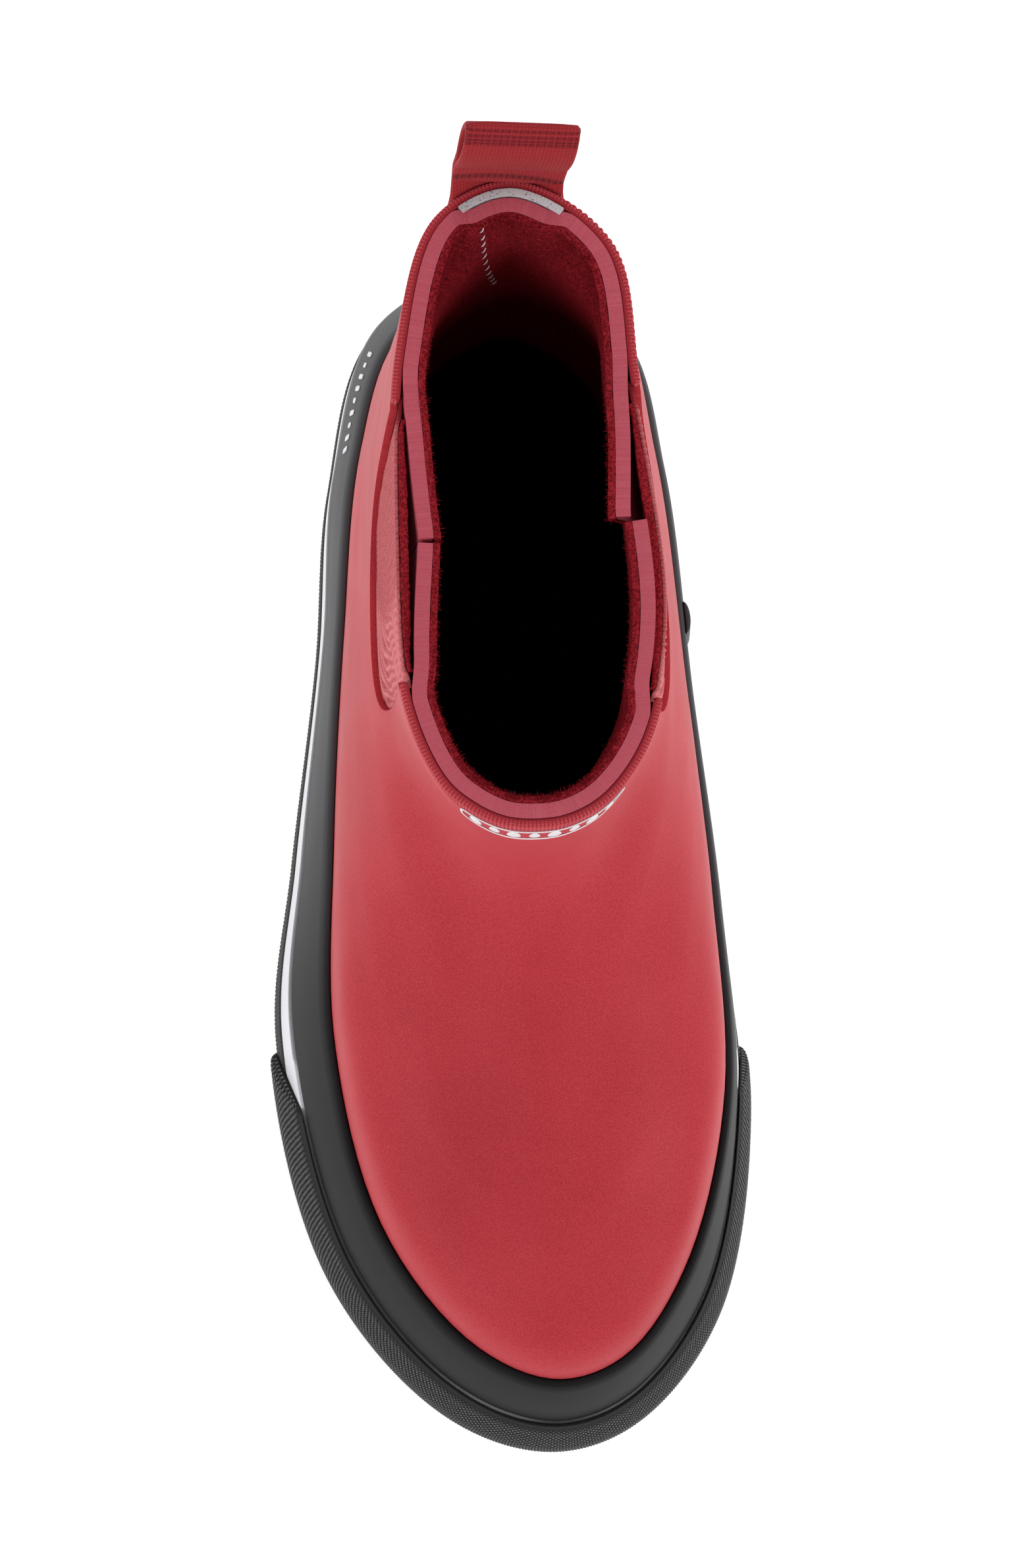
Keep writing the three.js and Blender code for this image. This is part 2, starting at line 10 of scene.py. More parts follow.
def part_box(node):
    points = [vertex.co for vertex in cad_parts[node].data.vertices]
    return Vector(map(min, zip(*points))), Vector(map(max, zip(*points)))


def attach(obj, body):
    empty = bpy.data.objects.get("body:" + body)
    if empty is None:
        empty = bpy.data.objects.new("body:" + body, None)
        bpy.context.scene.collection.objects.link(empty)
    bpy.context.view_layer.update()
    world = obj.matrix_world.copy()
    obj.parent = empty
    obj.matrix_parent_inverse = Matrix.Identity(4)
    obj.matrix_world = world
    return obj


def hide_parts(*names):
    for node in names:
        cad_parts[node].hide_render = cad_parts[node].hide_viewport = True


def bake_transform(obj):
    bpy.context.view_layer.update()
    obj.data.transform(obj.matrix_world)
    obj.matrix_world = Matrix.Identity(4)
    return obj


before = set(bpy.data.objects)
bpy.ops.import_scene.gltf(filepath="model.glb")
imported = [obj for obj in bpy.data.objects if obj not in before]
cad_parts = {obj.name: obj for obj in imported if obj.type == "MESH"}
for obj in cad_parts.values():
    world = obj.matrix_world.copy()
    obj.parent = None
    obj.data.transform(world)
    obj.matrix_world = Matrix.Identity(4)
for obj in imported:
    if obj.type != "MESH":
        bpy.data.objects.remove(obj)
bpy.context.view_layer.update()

# ---- Sizes, in millimetres ----
MM = 0.001
TURN = 2 * math.pi
OUTSOLE_THICKNESS = 9
TAPE_TOP = 21
BEAD_TOP = 23.4
FOXING_TOP = 44
FOXING_LEDGE = 1.6
TOE_SPRING = 5
SPRING_START = -55
SPRING_REACH = 68.5
SHELL_BOTTOM = 14.32
SHELL = 1.5
FOAM = 3
LINING = 1.4
HEEL_TAPE = 1.7
GAP = 0.32
WEBBING = 1.5
TAB_WIDTH = 22.8
TAB_HEIGHT = 19.2
RISE = 103
GROOVE_PITCH = 12
GROOVE_WIDTH = 3
GROOVE_DEPTH = 2.5

# The upper's rows: 0 at the foxing line, 5 at the collar's edge; the last ones are about 46 mm high
TOP_ROW = 5
BOTTOM_ROW = -1
MM_PER_ROW = 46
ROWS_PER_MM = 0.022
MM_PER_TURN = 330
TRIM_ROW = TOP_ROW - 0.095
SLIT_ROW = 4.22
FOAM_DEPTH = 2.84
COLLAR_DEPTH = 1.82

# ---- The last: closed rings of stations, from the toe round the inner side to the heel and back ----
LEVEL = [0] * 9
SOLE_EDGE = (LEVEL, [
    (9, -129.8), (27, -124), (45, -101.5), (53.2, -57), (49, -14), (42, 35), (36.3, 88), (26.5, 123),
    (-2, 138.3), (-32, 125.6), (-42.3, 88), (-44.7, 48), (-49.9, 0), (-53, -40), (-39, -93), (-13, -122.5)])
BEAD_LINE = (LEVEL, [
    (9, -127.3), (26, -121.5), (43, -99), (50.8, -57), (47.4, -12), (41.1, 35), (35, 88), (25.5, 121),
    (-2, 136.5), (-30.6, 123.8), (-41, 88), (-43, 50), (-47.6, 0), (-49.8, -40), (-36, -92), (-12, -119.8)])
FOXING_LINE = (LEVEL, [
    (9, -117.9), (24, -112.5), (37.5, -92.5), (46, -56), (43.6, -12), (37.8, 35), (31.6, 86), (22.6, 116),
    (-2, 129), (-26.5, 115), (-35.2, 88), (-38.5, 48), (-40.5, 0), (-40, -45), (-29, -85.5), (-9, -110.6)])
TOE_SHOULDER = ([11, 11.5, 13, 16, 18, 20, 22, 22, 22], [
    (9, -111), (22.5, -106), (35, -88), (43.5, -53), (41.8, -12), (36.4, 35), (29.7, 85), (21.5, 113.5),
    (-2, 126.5), (-25.5, 112.5), (-34.4, 87), (-37.6, 47), (-39.3, 0), (-37.8, -43), (-26.5, -80.5),
    (-7.5, -104)])
TOE_CROWN = ([18.5, 19, 22, 27, 32, 36, 40, 40, 40], [
    (8, -92), (17, -88), (26, -72), (35, -42), (37.2, -5), (33.8, 36), (27.7, 83), (20.5, 110),
    (-2.5, 122.5), (-25, 109.5), (-33, 85), (-35.5, 46), (-36, 2), (-31.5, -36), (-20, -65), (-4, -84.5)])
INSTEP = ([29, 29.5, 33, 41, 48, 55, 60, 60, 60], [
    (4, -58), (9, -56), (15, -46), (23, -25), (30, 2), (30.5, 36), (25.2, 80), (19.5, 106.5),
    (-3, 118.8), (-25, 106.5), (-31.8, 83), (-33.3, 45), (-31, 5), (-23.5, -22), (-12, -42), (-2, -54.5)])
ANKLE = ([57, 57, 58.5, 62, 67, 73, 80, 82, 82], [
    (0.5, -16.8), (5, -16), (11, -12.6), (18, -2.6), (25.5, 13), (28, 40), (22.9, 80), (18, 104.6),
    (-4, 118), (-24, 105.5), (-30.5, 82), (-31.5, 45), (-27.2, 14), (-18.4, -2.6), (-10, -12.8),
    (-4.4, -16.1)])
COLLAR = ([103, 103, 103, 103, 102.5, 102, 105, 108.5, 110], [
    (0, -9.9), (6.5, -8.9), (13.5, -5.2), (20, 2.3), (24.6, 13), (27.4, 36), (20.8, 80), (15, 108.5),
    (-5, 120.6), (-21, 113), (-28.3, 87), (-29.2, 48), (-26.8, 16), (-19.5, -1), (-13, -6.6), (-6.5, -9.4)])
STATIONS = 16


def ring(shape):
    rise, outline = shape
    return np.array([(x, y, rise[min(i, STATIONS - i)]) for i, (x, y) in enumerate(outline)], float)


UPPER_RINGS = [ring(r) for r in (FOXING_LINE, TOE_SHOULDER, TOE_CROWN, INSTEP, ANKLE, COLLAR)]
SOLE_RING = ring(SOLE_EDGE)
BEAD_RING = ring(BEAD_LINE)


def through(p0, p1, p2, p3, t):
    """The point at share t from p1 to p2 of a centripetal curve through four points."""
    pairs = ((p0, p1), (p1, p2), (p2, p3))
    d0, d1, d2 = (np.maximum(((b - a) ** 2).sum(-1), 1e-12)[..., None] ** 0.25 for a, b in pairs)
    leave = ((p1 - p0) / d0 - (p2 - p0) / (d0 + d1) + (p2 - p1) / d1) * d1
    arrive = ((p2 - p1) / d1 - (p3 - p1) / (d1 + d2) + (p3 - p2) / d2) * d1
    t = t[..., None]
    bend = 3 * (p2 - p1) - 2 * leave - arrive
    return p1 + leave * t + bend * t**2 + (2 * (p1 - p2) + leave + arrive) * t**3


def on_ring(stations, u):
    place = np.mod(u, 1) * STATIONS
    i = np.floor(place).astype(int)
    return through(*(stations[(i + k) % STATIONS] for k in (-1, 0, 1, 2)), place - i)


def wall(u, v):
    """A point of the upper's outer surface: u runs once round, v counts the rings up from the foxing line."""
    u, v = np.asarray(u, float), np.asarray(v, float)
    rows = [on_ring(r, u) for r in UPPER_RINGS]
    below = rows[0] * (1, 1, 0) - (0, 0, RISE / 8)
    knots = [below, *rows]
    knots = np.stack([2 * knots[0] - knots[1], *knots, 2 * knots[-1] - knots[-2]])
    place = np.clip(v, 0, TOP_ROW + 0.1) + 1
    i = np.minimum(np.floor(place), TOP_ROW).astype(int)
    shape = np.broadcast_shapes(u.shape, v.shape)
    knots = np.broadcast_to(knots, (len(knots), *shape, 3))
    i = np.broadcast_to(i, shape)
    near = [np.take_along_axis(knots, (i + k)[None, ..., None], 0)[0] for k in range(4)]
    point = through(*near, np.broadcast_to(place, shape) - i)
    point[..., 2] += FOXING_TOP
    low = np.broadcast_to(v, shape) < 0
    foot = np.broadcast_to(rows[0], (*shape, 3))
    height = np.broadcast_to(FOXING_TOP + (FOXING_TOP - SHELL_BOTTOM) * v, shape)
    straight = np.concatenate([foot[..., :2], height[..., None]], -1)
    return np.where(low[..., None], straight, point)


def unit(vectors):
    return vectors / np.linalg.norm(vectors, axis=-1, keepdims=True)


def wall_normal(u, v):
    step = 0.004
    around = wall(np.add(u, step), v) - wall(np.subtract(u, step), v)
    above, below = np.minimum(np.add(v, step), TOP_ROW), np.minimum(np.subtract(v, step), TOP_ROW - step)
    up = wall(u, above) - wall(u, below)
    return unit(np.cross(around, up))


def skin(u, v, depth):
    """A point inside the outer surface by depth, or outside it where depth is negative."""
    return wall(u, v) - wall_normal(u, v) * np.asarray(depth)[..., None]


def side(u, z, proud):
    """The sole's outer side, standing proud of the CAD's outline by that much."""
    u, z, proud = np.broadcast_arrays(*(np.asarray(a, float) for a in (u, z, proud)))
    bead = on_ring(BEAD_RING, u)
    low_share = (BEAD_TOP - z) / (BEAD_TOP - OUTSOLE_THICKNESS / 2)
    high_share = (z - BEAD_TOP) / (FOXING_TOP - BEAD_TOP)
    flat = np.full_like(u, BOTTOM_ROW)
    ledge = skin(u, flat, np.full_like(u, -FOXING_LEDGE - GAP))
    low = bead + (on_ring(SOLE_RING, u) - bead) * low_share[..., None]
    high = bead + (ledge - bead) * high_share[..., None]
    point = np.where((z <= BEAD_TOP)[..., None], low, high) + wall_normal(u, flat) * proud[..., None]
    point[..., 2] = z
    return point


# The CAD's outsole stands in the middle of the frame: how far the rings lie from it
outsole_low, outsole_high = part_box("outsole")
forty = side(np.arange(40) / 40, np.zeros(40), np.zeros(40))
SHIFT = (forty.min(0) + forty.max(0)) / 2 - (outsole_low + outsole_high) / 2 / MM
SHIFT[2] = 0
SPRING_SHARE = 0.75


def place(points):
    """Points of the boot in metres in the shared frame, with the toe's spring."""
    points = np.array(points, float)
    past = np.maximum(0, SPRING_START - points[..., 1])
    points[..., 2] += TOE_SPRING * (past / SPRING_REACH) ** 2 * SPRING_SHARE
    return (points - SHIFT) * MM


def smooth(x, low, high):
    t = np.clip((np.asarray(x, float) - low) / (high - low), 0, 1)
    return t * t * (3 - 2 * t)


LATTICE = np.random.default_rng(7).random((64, 64, 64))


def mottle(points, size):
    """Smooth noise from -1 to 1 at points, with lumps of that size."""
    p = np.asarray(points, float) / size
    i = np.floor(p).astype(int)
    f = p - i
    f = f * f * (3 - 2 * f)
    total = 0
    for corner in np.ndindex(2, 2, 2):
        weight = np.prod([f[..., k] if c else 1 - f[..., k] for k, c in enumerate(corner)], 0)
        total = total + weight * LATTICE[tuple((i[..., k] + c) % 64 for k, c in enumerate(corner))]
    return 2 * total - 1


# ---- Meshes ----
def path_length(points):
    steps = np.linalg.norm(np.diff(points, axis=0), axis=-1)
    return np.concatenate([[0], np.cumsum(steps)])


def grid_parts(points, around=False, across=False, mask=0.0):
    """A grid's quads, and for each of their corners its place on the cloth: along, up, and a mask."""
    rows, columns = points.shape[:2]
    index = np.arange(rows * columns).reshape(rows, columns)
    mask = np.broadcast_to(mask, (rows, columns))
    row, column = points[rows // 2], points[:, columns // 2]
    along = path_length(np.vstack([row, row[:1]]) if around else row)
    up = path_length(np.vstack([column, column[:1]]) if across else column)
    if across:
        index, mask = np.vstack([index, index[:1]]), np.vstack([mask, mask[:1]])
    if around:
        index, mask = np.hstack([index, index[:, :1]]), np.hstack([mask, mask[:, :1]])
    lay = np.stack([*np.broadcast_arrays(along[None, :], up[:, None]), mask], -1)
    first, second = slice(0, -1), slice(1, None)
    corners = ((first, first), (first, second), (second, second), (second, first))
    quads = np.stack([index[c] for c in corners], -1).reshape(-1, 4)
    laid = np.stack([lay[c] for c in corners], 2).reshape(-1, 4, 3)
    return quads, laid


def in_scene(name, data):
    made = bpy.data.objects.new(name, data)
    bpy.context.scene.collection.objects.link(made)
    return made


def make(name, points, faces, laid=None, turn_out=True):
    """A smooth object from points in millimetres of the boot's own frame."""
    mesh = bpy.data.meshes.new(name)
    mesh.from_pydata(place(points).tolist(), [], [list(f) for f in faces])
    if laid is not None:
        attribute = mesh.attributes.new("lay", "FLOAT_VECTOR", "CORNER")
        values = np.zeros((len(mesh.loops), 3), np.float32)
        values[: len(laid)] = laid
        attribute.data.foreach_set("vector", values.ravel())
    if turn_out:
        work = bmesh.new()
        work.from_mesh(mesh)
        bmesh.ops.recalc_face_normals(work, faces=work.faces)
        work.to_mesh(mesh)
        work.free()
    mesh.shade_smooth()
    return in_scene(name, mesh)


def tube(name, points, around=False, mask=0.0):
    """A closed body over a grid whose rows run round its section; capped unless it closes around."""
    quads, laid = grid_parts(points, around=around, across=True, mask=mask)
    faces = quads.tolist()
    if not around:
        rows, columns = points.shape[:2]
        ends = np.arange(rows) * columns
        faces += [ends[::-1].tolist(), (ends + columns - 1).tolist()]
    return make(name, points.reshape(-1, 3), faces, laid.reshape(-1, 3))


def section(low, high, out, into, radius, unit_size=1.0, steps=14, turns=5):
    """A rounded rectangle, up outside and down inside: each point's height, in mm or rows, and depth."""
    radius = min(radius, (into - out) / 2 * 0.98)
    r = radius * unit_size
    quarter = np.linspace(0, math.pi / 2, turns)
    sine, cosine = np.sin(quarter)[1:], np.cos(quarter)[1:]
    faces = np.linspace(low + r, high - r, steps)
    up = [faces, high - r + r * sine, high - r + r * cosine]
    down = [faces[::-1][1:], low + r - r * sine, low + r - r * cosine[:-1]]
    outer = [np.full(steps, out), out + radius - radius * cosine, into - radius + radius * sine]
    inner = [np.full(steps - 1, into), into - radius + radius * cosine, out + radius - radius * sine[:-1]]
    return np.concatenate(up + down), np.concatenate(outer + inner)


def resampled(line, step):
    """A flat line with points step apart, and how far along it these and the old ones lie."""
    length = path_length(line)
    reach = np.arange(0, length[-1], step)
    return np.stack([np.interp(reach, length, line[:, k]) for k in (0, 1)], -1), reach, length


def aside(ahead):
    return unit(np.stack([ahead[:, 1], -ahead[:, 0]], -1))


def even(curve, start, end, step):
    """Values of u from start to end that lie about step apart along a curve, and how far along each lies."""
    fine = np.linspace(start, end, 4000)
    length = path_length(curve(fine))
    count = max(2, round(length[-1] / step))
    reach = np.linspace(0, length[-1], count + 1)
    return np.interp(reach, length, fine), reach


def final(made, *modifiers):
    """Gives an object its modifiers' own mesh."""
    for kind, settings in modifiers:
        modifier = made.modifiers.new(kind.title(), kind)
        for key, value in settings.items():
            setattr(modifier, key, value)
    graph = bpy.context.evaluated_depsgraph_get()
    mesh = bpy.data.meshes.new_from_object(made.evaluated_get(graph))
    made.modifiers.clear()
    made.data = mesh
    mesh.shade_smooth()
    return made


def walled(name, patches, thickness, edge):
    """A wall of that thickness behind patches that join where they meet, with rounded edges."""
    points, faces, laid, count = [], [], [], 0
    for patch in patches:
        quads, lay = grid_parts(patch)
        points.append(patch.reshape(-1, 3))
        faces.append(quads + count)
        laid.append(lay.reshape(-1, 3))
        count += len(points[-1])
    made = make(name, np.vstack(points), np.vstack(faces).tolist(), np.vstack(laid), turn_out=False)
    weld = ("WELD", {"merge_threshold": 2e-6})
    wall_behind = ("SOLIDIFY", {"thickness": thickness * MM, "offset": -1, "use_even_offset": True})
    angles = {"limit_method": "ANGLE", "angle_limit": math.radians(55)}
    rounding = ("BEVEL", {"width": edge * MM, "segments": 3, **angles})
    return final(made, weld, wall_behind, rounding)


def strands(name, start, middle, end, radius, sides=3, stations=4, tip=0.35):
    """Short bent fibres or stitches, each from its start through its middle to its end."""
    t = np.linspace(0, 1, stations)[None, :, None]
    line = start[:, None] * (1 - t) ** 2 + 2 * middle[:, None] * t * (1 - t) + end[:, None] * t**2
    run = unit(end - start + 1e-9)[:, None]
    across = unit(np.cross(run, np.broadcast_to((0.31, 0.52, 0.79), run.shape)))
    lift = np.cross(run, across)
    angle = (np.arange(sides) * TURN / sides)[:, None]
    size = radius * (1 + (tip - 1) * np.abs(2 * np.linspace(0, 1, stations) - 1) ** 2)
    spokes = across[:, :, None] * np.cos(angle) + lift[:, :, None] * np.sin(angle)
    points = line[:, :, None] + spokes * size[:, None, None]
    one, _ = grid_parts(points[0], around=True)
    cap = [list(range(sides))[::-1], [sides * (stations - 1) + k for k in range(sides)]]
    per = sides * stations
    faces = [[i * per + k for k in face] for i in range(len(points)) for face in one.tolist() + cap]
    return make(name, points.reshape(-1, 3), faces)


# ---- Finishes ----
def tint(red, green, blue):
    """A colour from its screen values, 0 to 255."""
    screen = np.array([red, green, blue]) / 255
    linear = np.where(screen <= 0.04045, screen / 12.92, ((screen + 0.055) / 1.055) ** 2.4)
    return (*linear.tolist(), 1)


class Value:
    """A number or colour inside a finish; arithmetic on values adds its Math nodes."""

    def __init__(self, finish, socket):
        self.finish, self.socket = finish, socket

    def math(self, operation, *others):
        sockets = dict(enumerate([self, *others]))
        return self.finish.node("ShaderNodeMath", {"operation": operation}, sockets)

    def __add__(self, other):
        return self.math("ADD", other)

    def __mul__(self, other):
        return self.math("MULTIPLY", other)


FINISHES = {}


class Finish:
    """A procedural material; constants are set on the shader's own sockets."""

    def __init__(self, name, **constants):
        self.material = bpy.data.materials.new(name)
        self.material.use_nodes = True
        FINISHES[name] = self.material
        self.tree = self.material.node_tree
        self.shader = self.tree.nodes["Principled BSDF"]
        for socket, value in constants.items():
            self.shader.inputs[socket.replace("_", " ")].default_value = value

    def node(self, kind, settings, sockets, output=0):
        made = self.tree.nodes.new(kind)
        for key, value in settings.items():
            setattr(made, key, value)
        for key, value in sockets.items():
            if isinstance(value, Value):
                self.tree.links.new(value.socket, made.inputs[key])
            else:
                made.inputs[key].default_value = value
        return Value(self, made.outputs[output])

    def here(self):
        return self.node("ShaderNodeTexCoord", {}, {}, "Object")

    def lay(self):
        """Along, up and mask of the cloth, in millimetres."""
        found = self.node("ShaderNodeAttribute", {"attribute_name": "lay"}, {}, "Vector")
        parts = self.node("ShaderNodeSeparateXYZ", {}, {0: found})
        return [Value(self, o) for o in parts.socket.node.outputs]

    def noise(self, size, detail=2.0, roughness=0.5, where=None):
        """Noise from 0 to 1 with lumps of that many millimetres, in the object's own frame or in where."""
        scale = 1 / size / (1 if where else MM)
        sockets = {"Vector": where or self.here(), "Scale": scale, "Detail": detail, "Roughness": roughness}
        return self.node("ShaderNodeTexNoise", {}, sockets, "Fac")

    def cells(self, size):
        sockets = {"Vector": self.here(), "Scale": 1 / size / MM}
        return self.node("ShaderNodeTexVoronoi", {}, sockets, "Distance")

    def wave(self, value, pitch, shift=0.0):
        """A sine from 0 to 1 along value, one crest each pitch."""
        return (value * (TURN / pitch) + shift).math("SINE") * 0.5 + 0.5

    def vector(self, x, y, z=0.0):
        return self.node("ShaderNodeCombineXYZ", {}, {0: x, 1: y, 2: z})

    def ramp(self, value, low, high):
        """0 below low, 1 above high."""
        return self.node("ShaderNodeMapRange", {"clamp": True, "interpolation_type": "SMOOTHSTEP"},
                         {"Value": value, "From Min": low, "From Max": high})

    def mix(self, share, first, second):
        return self.node("ShaderNodeMix", {"data_type": "RGBA"}, {0: share, 6: first, 7: second}, 2)

    def dress(self, color=None, roughness=None, height=None, distance=0.1):
        """Links what changes over the surface; height is in the units of distance, in millimetres."""
        for socket, value in (("Base Color", color), ("Roughness", roughness)):
            if value is not None:
                self.tree.links.new(value.socket, self.shader.inputs[socket])
        if height is not None:
            bump = self.node("ShaderNodeBump", {}, {"Height": height, "Distance": distance * MM})
            self.tree.links.new(bump.socket, self.shader.inputs["Normal"])
        return self.material


def rubber(name, dark, light, grain, relief, rough, gloss=0.4, speck=None):
    """Moulded or calendered rubber: a fine grain, broad mottling of colour and gloss."""
    f = Finish(name, Specular_IOR_Level=gloss)
    fine, broad = f.noise(grain, 3, 0.6), f.noise(38, 3, 0.55)
    share = f.ramp(broad * 0.65 + fine * 0.35, 0.3, 0.7)
    color = f.mix(share, dark, light)
    if speck:
        color = f.mix(f.ramp(f.noise(grain * 1.6, 1), 0.62, 0.7), color, speck)
    roughness = broad * (rough[1] - rough[0]) + rough[0]
    return f.dress(color, roughness, fine + f.noise(grain * 3, 2) * 0.6, relief)


def foxing_rubber(name, dark, light, heel_reflection):
    """Calendered black rubber, painted paler toward the heel: a painted reflection standing in for the
    grazing gloss there.
    """
    f = Finish(name, Specular_IOR_Level=0.04)
    reflection_from, reflection_to = -0.075, 0.035
    fine, broad = f.noise(0.3, 3, 0.6), f.noise(38, 3, 0.55)
    color = f.mix(f.ramp(broad * 0.5 + fine * 0.5, 0.3, 0.7), dark, light)
    length = f.node("ShaderNodeSeparateXYZ", {}, {0: f.here()}, 1)
    # Painted reflection: along the boot's length the colour pales to a grey toward the heel, as the black
    # rubber's gloss looks at a grazing view.
    color = f.mix(f.ramp(length, reflection_from, reflection_to) * (fine * 0.3 + 0.7), color, heel_reflection)
    return f.dress(color, broad * 0.12 + 0.38, fine + f.noise(0.9, 2) * 0.6, 0.014)


def knurled_rubber(name, dark, light, worn):
    """Rubber whose knurled points, where the mask says, are rubbed paler."""
    f = Finish(name, Specular_IOR_Level=0.03)
    mask = f.lay()[2]
    fine = f.noise(0.35, 3, 0.6)
    color = f.mix(mask * (fine * 0.9 + 0.25), f.mix(fine, dark, light), worn)
    return f.dress(color, fine * 0.1 + 0.5, fine + f.noise(1.0, 2) * 0.6, 0.02)


def red_rubber():
    f = Finish("red_rubber", Specular_IOR_Level=0.08, Sheen_Weight=0.04, Sheen_Roughness=0.5)
    fine, broad, grain = f.noise(0.34, 3, 0.65), f.noise(30, 3, 0.5), f.noise(0.9, 2)
    share = f.ramp(broad * 0.25 + fine * 0.75, 0.32, 0.68)
    color = f.mix(share, RED_DEEP, RED_LIT)
    return f.dress(color, f.noise(14, 2) * 0.16 + 0.4, fine + grain * 0.5, 0.018)


def knit(name, dark, light, pitch, course, relief, edge, raised=None):
    """Ribbed knit with a fine fuzz: edge is painted shade where the mask is above 0, raised a painted
    highlight where it is below.
    """
    f = Finish(name, Roughness=0.85, Specular_IOR_Level=0.2, Sheen_Weight=0.04, Sheen_Roughness=0.5)
    along, up, mask = f.lay()
    wobble = f.noise(1.4, 2) * 0.5
    ribs = f.wave(along + wobble * 0.3, pitch)
    loops = f.wave(up + f.wave(along, pitch) * (course * 0.5), course)
    fine = f.noise(0.22, 2, 0.6)
    height = ribs * 0.45 + loops * 0.35 + fine * 0.5
    color = f.mix(f.ramp(height, 0.35, 1.05), dark, light)
    # Painted shade, in the colour edge, where the mask is above 0.
    color = f.mix(mask.math("MAXIMUM", 0.0), color, edge)
    if raised:
        # Painted highlight, in the colour raised, where the mask is below 0.
        color = f.mix((mask * -1.0).math("MAXIMUM", 0.0), color, raised)
    return f.dress(color, None, height, relief)


def fleece(name, dark, light):
    """Brushed pile: clumped fibres."""
    f = Finish(name, Roughness=0.95, Specular_IOR_Level=0.1)
    clumps, fine = f.cells(0.55), f.noise(0.18, 3, 0.7)
    height = clumps * 0.7 + fine
    color = f.mix(f.ramp(clumps * 0.6 + fine * 0.8, 0.45, 0.95), dark, light)
    return f.dress(color, None, height, 0.25)


def cut_foam(name, dark, light):
    """The cut edge of bonded foam: fine streaks across it and small open cells."""
    f = Finish(name, Roughness=0.8, Specular_IOR_Level=0.2)
    along, up, _ = f.lay()
    streaks = f.noise(1, 2, 0.6, where=f.vector(along * 4.0, up * 0.4))
    cells = f.cells(0.35)
    color = f.mix(f.ramp(streaks * 0.6 + f.noise(0.3, 2) * 0.4, 0.36, 0.66), dark, light)
    return f.dress(color, None, streaks * 0.4 + cells * 0.7, 0.12)


def webbing(name, dark, light, deep):
    """Fine woven tape: warp ends crossed by picks, painted darker where the mask says: shade in a few deeper
    ribs and a painted shadow near the foot.
    """
    f = Finish(name, Roughness=0.8, Specular_IOR_Level=0.2, Sheen_Weight=0.04, Sheen_Roughness=0.5)
    along, up, mask = f.lay()
    warp, pick = f.wave(along, 0.62), f.wave(up, 0.74)
    fine = f.noise(0.2, 2, 0.6)
    weave = warp * pick + fine * 0.7
    color = f.mix(f.ramp(weave, 0.2, 1.15), dark, light)
    # Painted shade: the deep colour where the mask says, dashed along up.
    color = f.mix(mask * (f.wave(up, 1.25) * 0.4 + 0.45), color, deep)
    return f.dress(color, None, weave, 0.12)


RED_DEEP, RED_LIT = tint(180, 50, 58), tint(204, 68, 77)
CHARCOAL = (tint(26, 26, 27), tint(38, 38, 40))

red_rubber()
# The third tint is the painted reflection grey toward the heel.
foxing_rubber("charcoal_rubber", *CHARCOAL, tint(82, 82, 84))
rubber("white_rubber", tint(222, 224, 230), tint(238, 239, 243), 0.5, 0.02, (0.35, 0.45))
rubber("grey_rubber", tint(118, 118, 121), tint(140, 140, 143), 0.4, 0.03, (0.4, 0.5))
rubber("outsole_rubber", tint(30, 28, 27), tint(48, 45, 43), 0.5, 0.06, (0.6, 0.75), 0.3)
knurled_rubber("bumper_rubber", tint(26, 25, 25), tint(40, 39, 39), tint(150, 152, 151))
# For the collar, the third tint is painted shade on the binding's inner side.
knit("ribbed_knit", tint(166, 40, 50), tint(212, 86, 94), 0.75, 0.6, 0.1, tint(158, 36, 46))
# For the gore, the third tint is painted shade in the sunk margin, and raised is a painted highlight on the
# crests.
knit("elastic_gore", tint(162, 50, 56), tint(200, 88, 92), 0.8, 0.62, 0.16, tint(132, 22, 34),
     raised=tint(226, 132, 136))
fleece("fleece_lining", tint(118, 15, 26), tint(180, 42, 53))
cut_foam("pink_foam", tint(190, 80, 95), tint(201, 93, 108))
# The third tint is painted shade, for the tab's grooves and the shadow at its foot.
webbing("tab_webbing", tint(158, 37, 43), tint(182, 51, 57), tint(92, 10, 20))
rubber("grey_tape", tint(186, 182, 185), tint(222, 219, 221), 0.3, 0.1, (0.7, 0.8),
       speck=tint(128, 122, 128))
rubber("footbed_textile", tint(7, 7, 9), tint(14, 14, 16), 0.4, 0.06, (0.9, 0.97), 0.06)
rubber("badge_print", tint(226, 226, 230), tint(240, 240, 242), 0.4, 0.02, (0.45, 0.55))
rubber("midsole_filler", tint(190, 190, 194), tint(214, 214, 218), 1.2, 0.3, (0.8, 0.9))
rubber("stiffener_board", tint(150, 146, 140), tint(176, 172, 166), 0.6, 0.08, (0.75, 0.85))
rubber("insole_fibre", tint(34, 31, 29), tint(52, 48, 44), 0.8, 0.1, (0.85, 0.95), 0.1)


def coat(made, slot_name):
    made.data.materials.clear()
    made.data.materials.append(FINISHES[slot_name])


def dress(made, slot_name, *nodes, body="boot"):
    """Gives a piece the finish of that slot, hides the nodes that it stands for and rides it on its body."""
    coat(made, slot_name)
    if nodes:
        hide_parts(*nodes)
    if body:
        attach(made, body)
    return made


for node_name, slot_name in (("midsole_core", "midsole_filler"), ("insole_board", "insole_fibre"),
                             ("toe_puff", "stiffener_board"), ("heel_counter", "stiffener_board")):
    coat(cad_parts[node_name], slot_name)


# ---- Sole unit ----
BUMPER_FROM, BUMPER_TO, BUMPER_SLANT = -0.185, 0.212, 0.02
BUMPER_LOW, BUMPER_HIGH = 1.5, BEAD_TOP + GAP


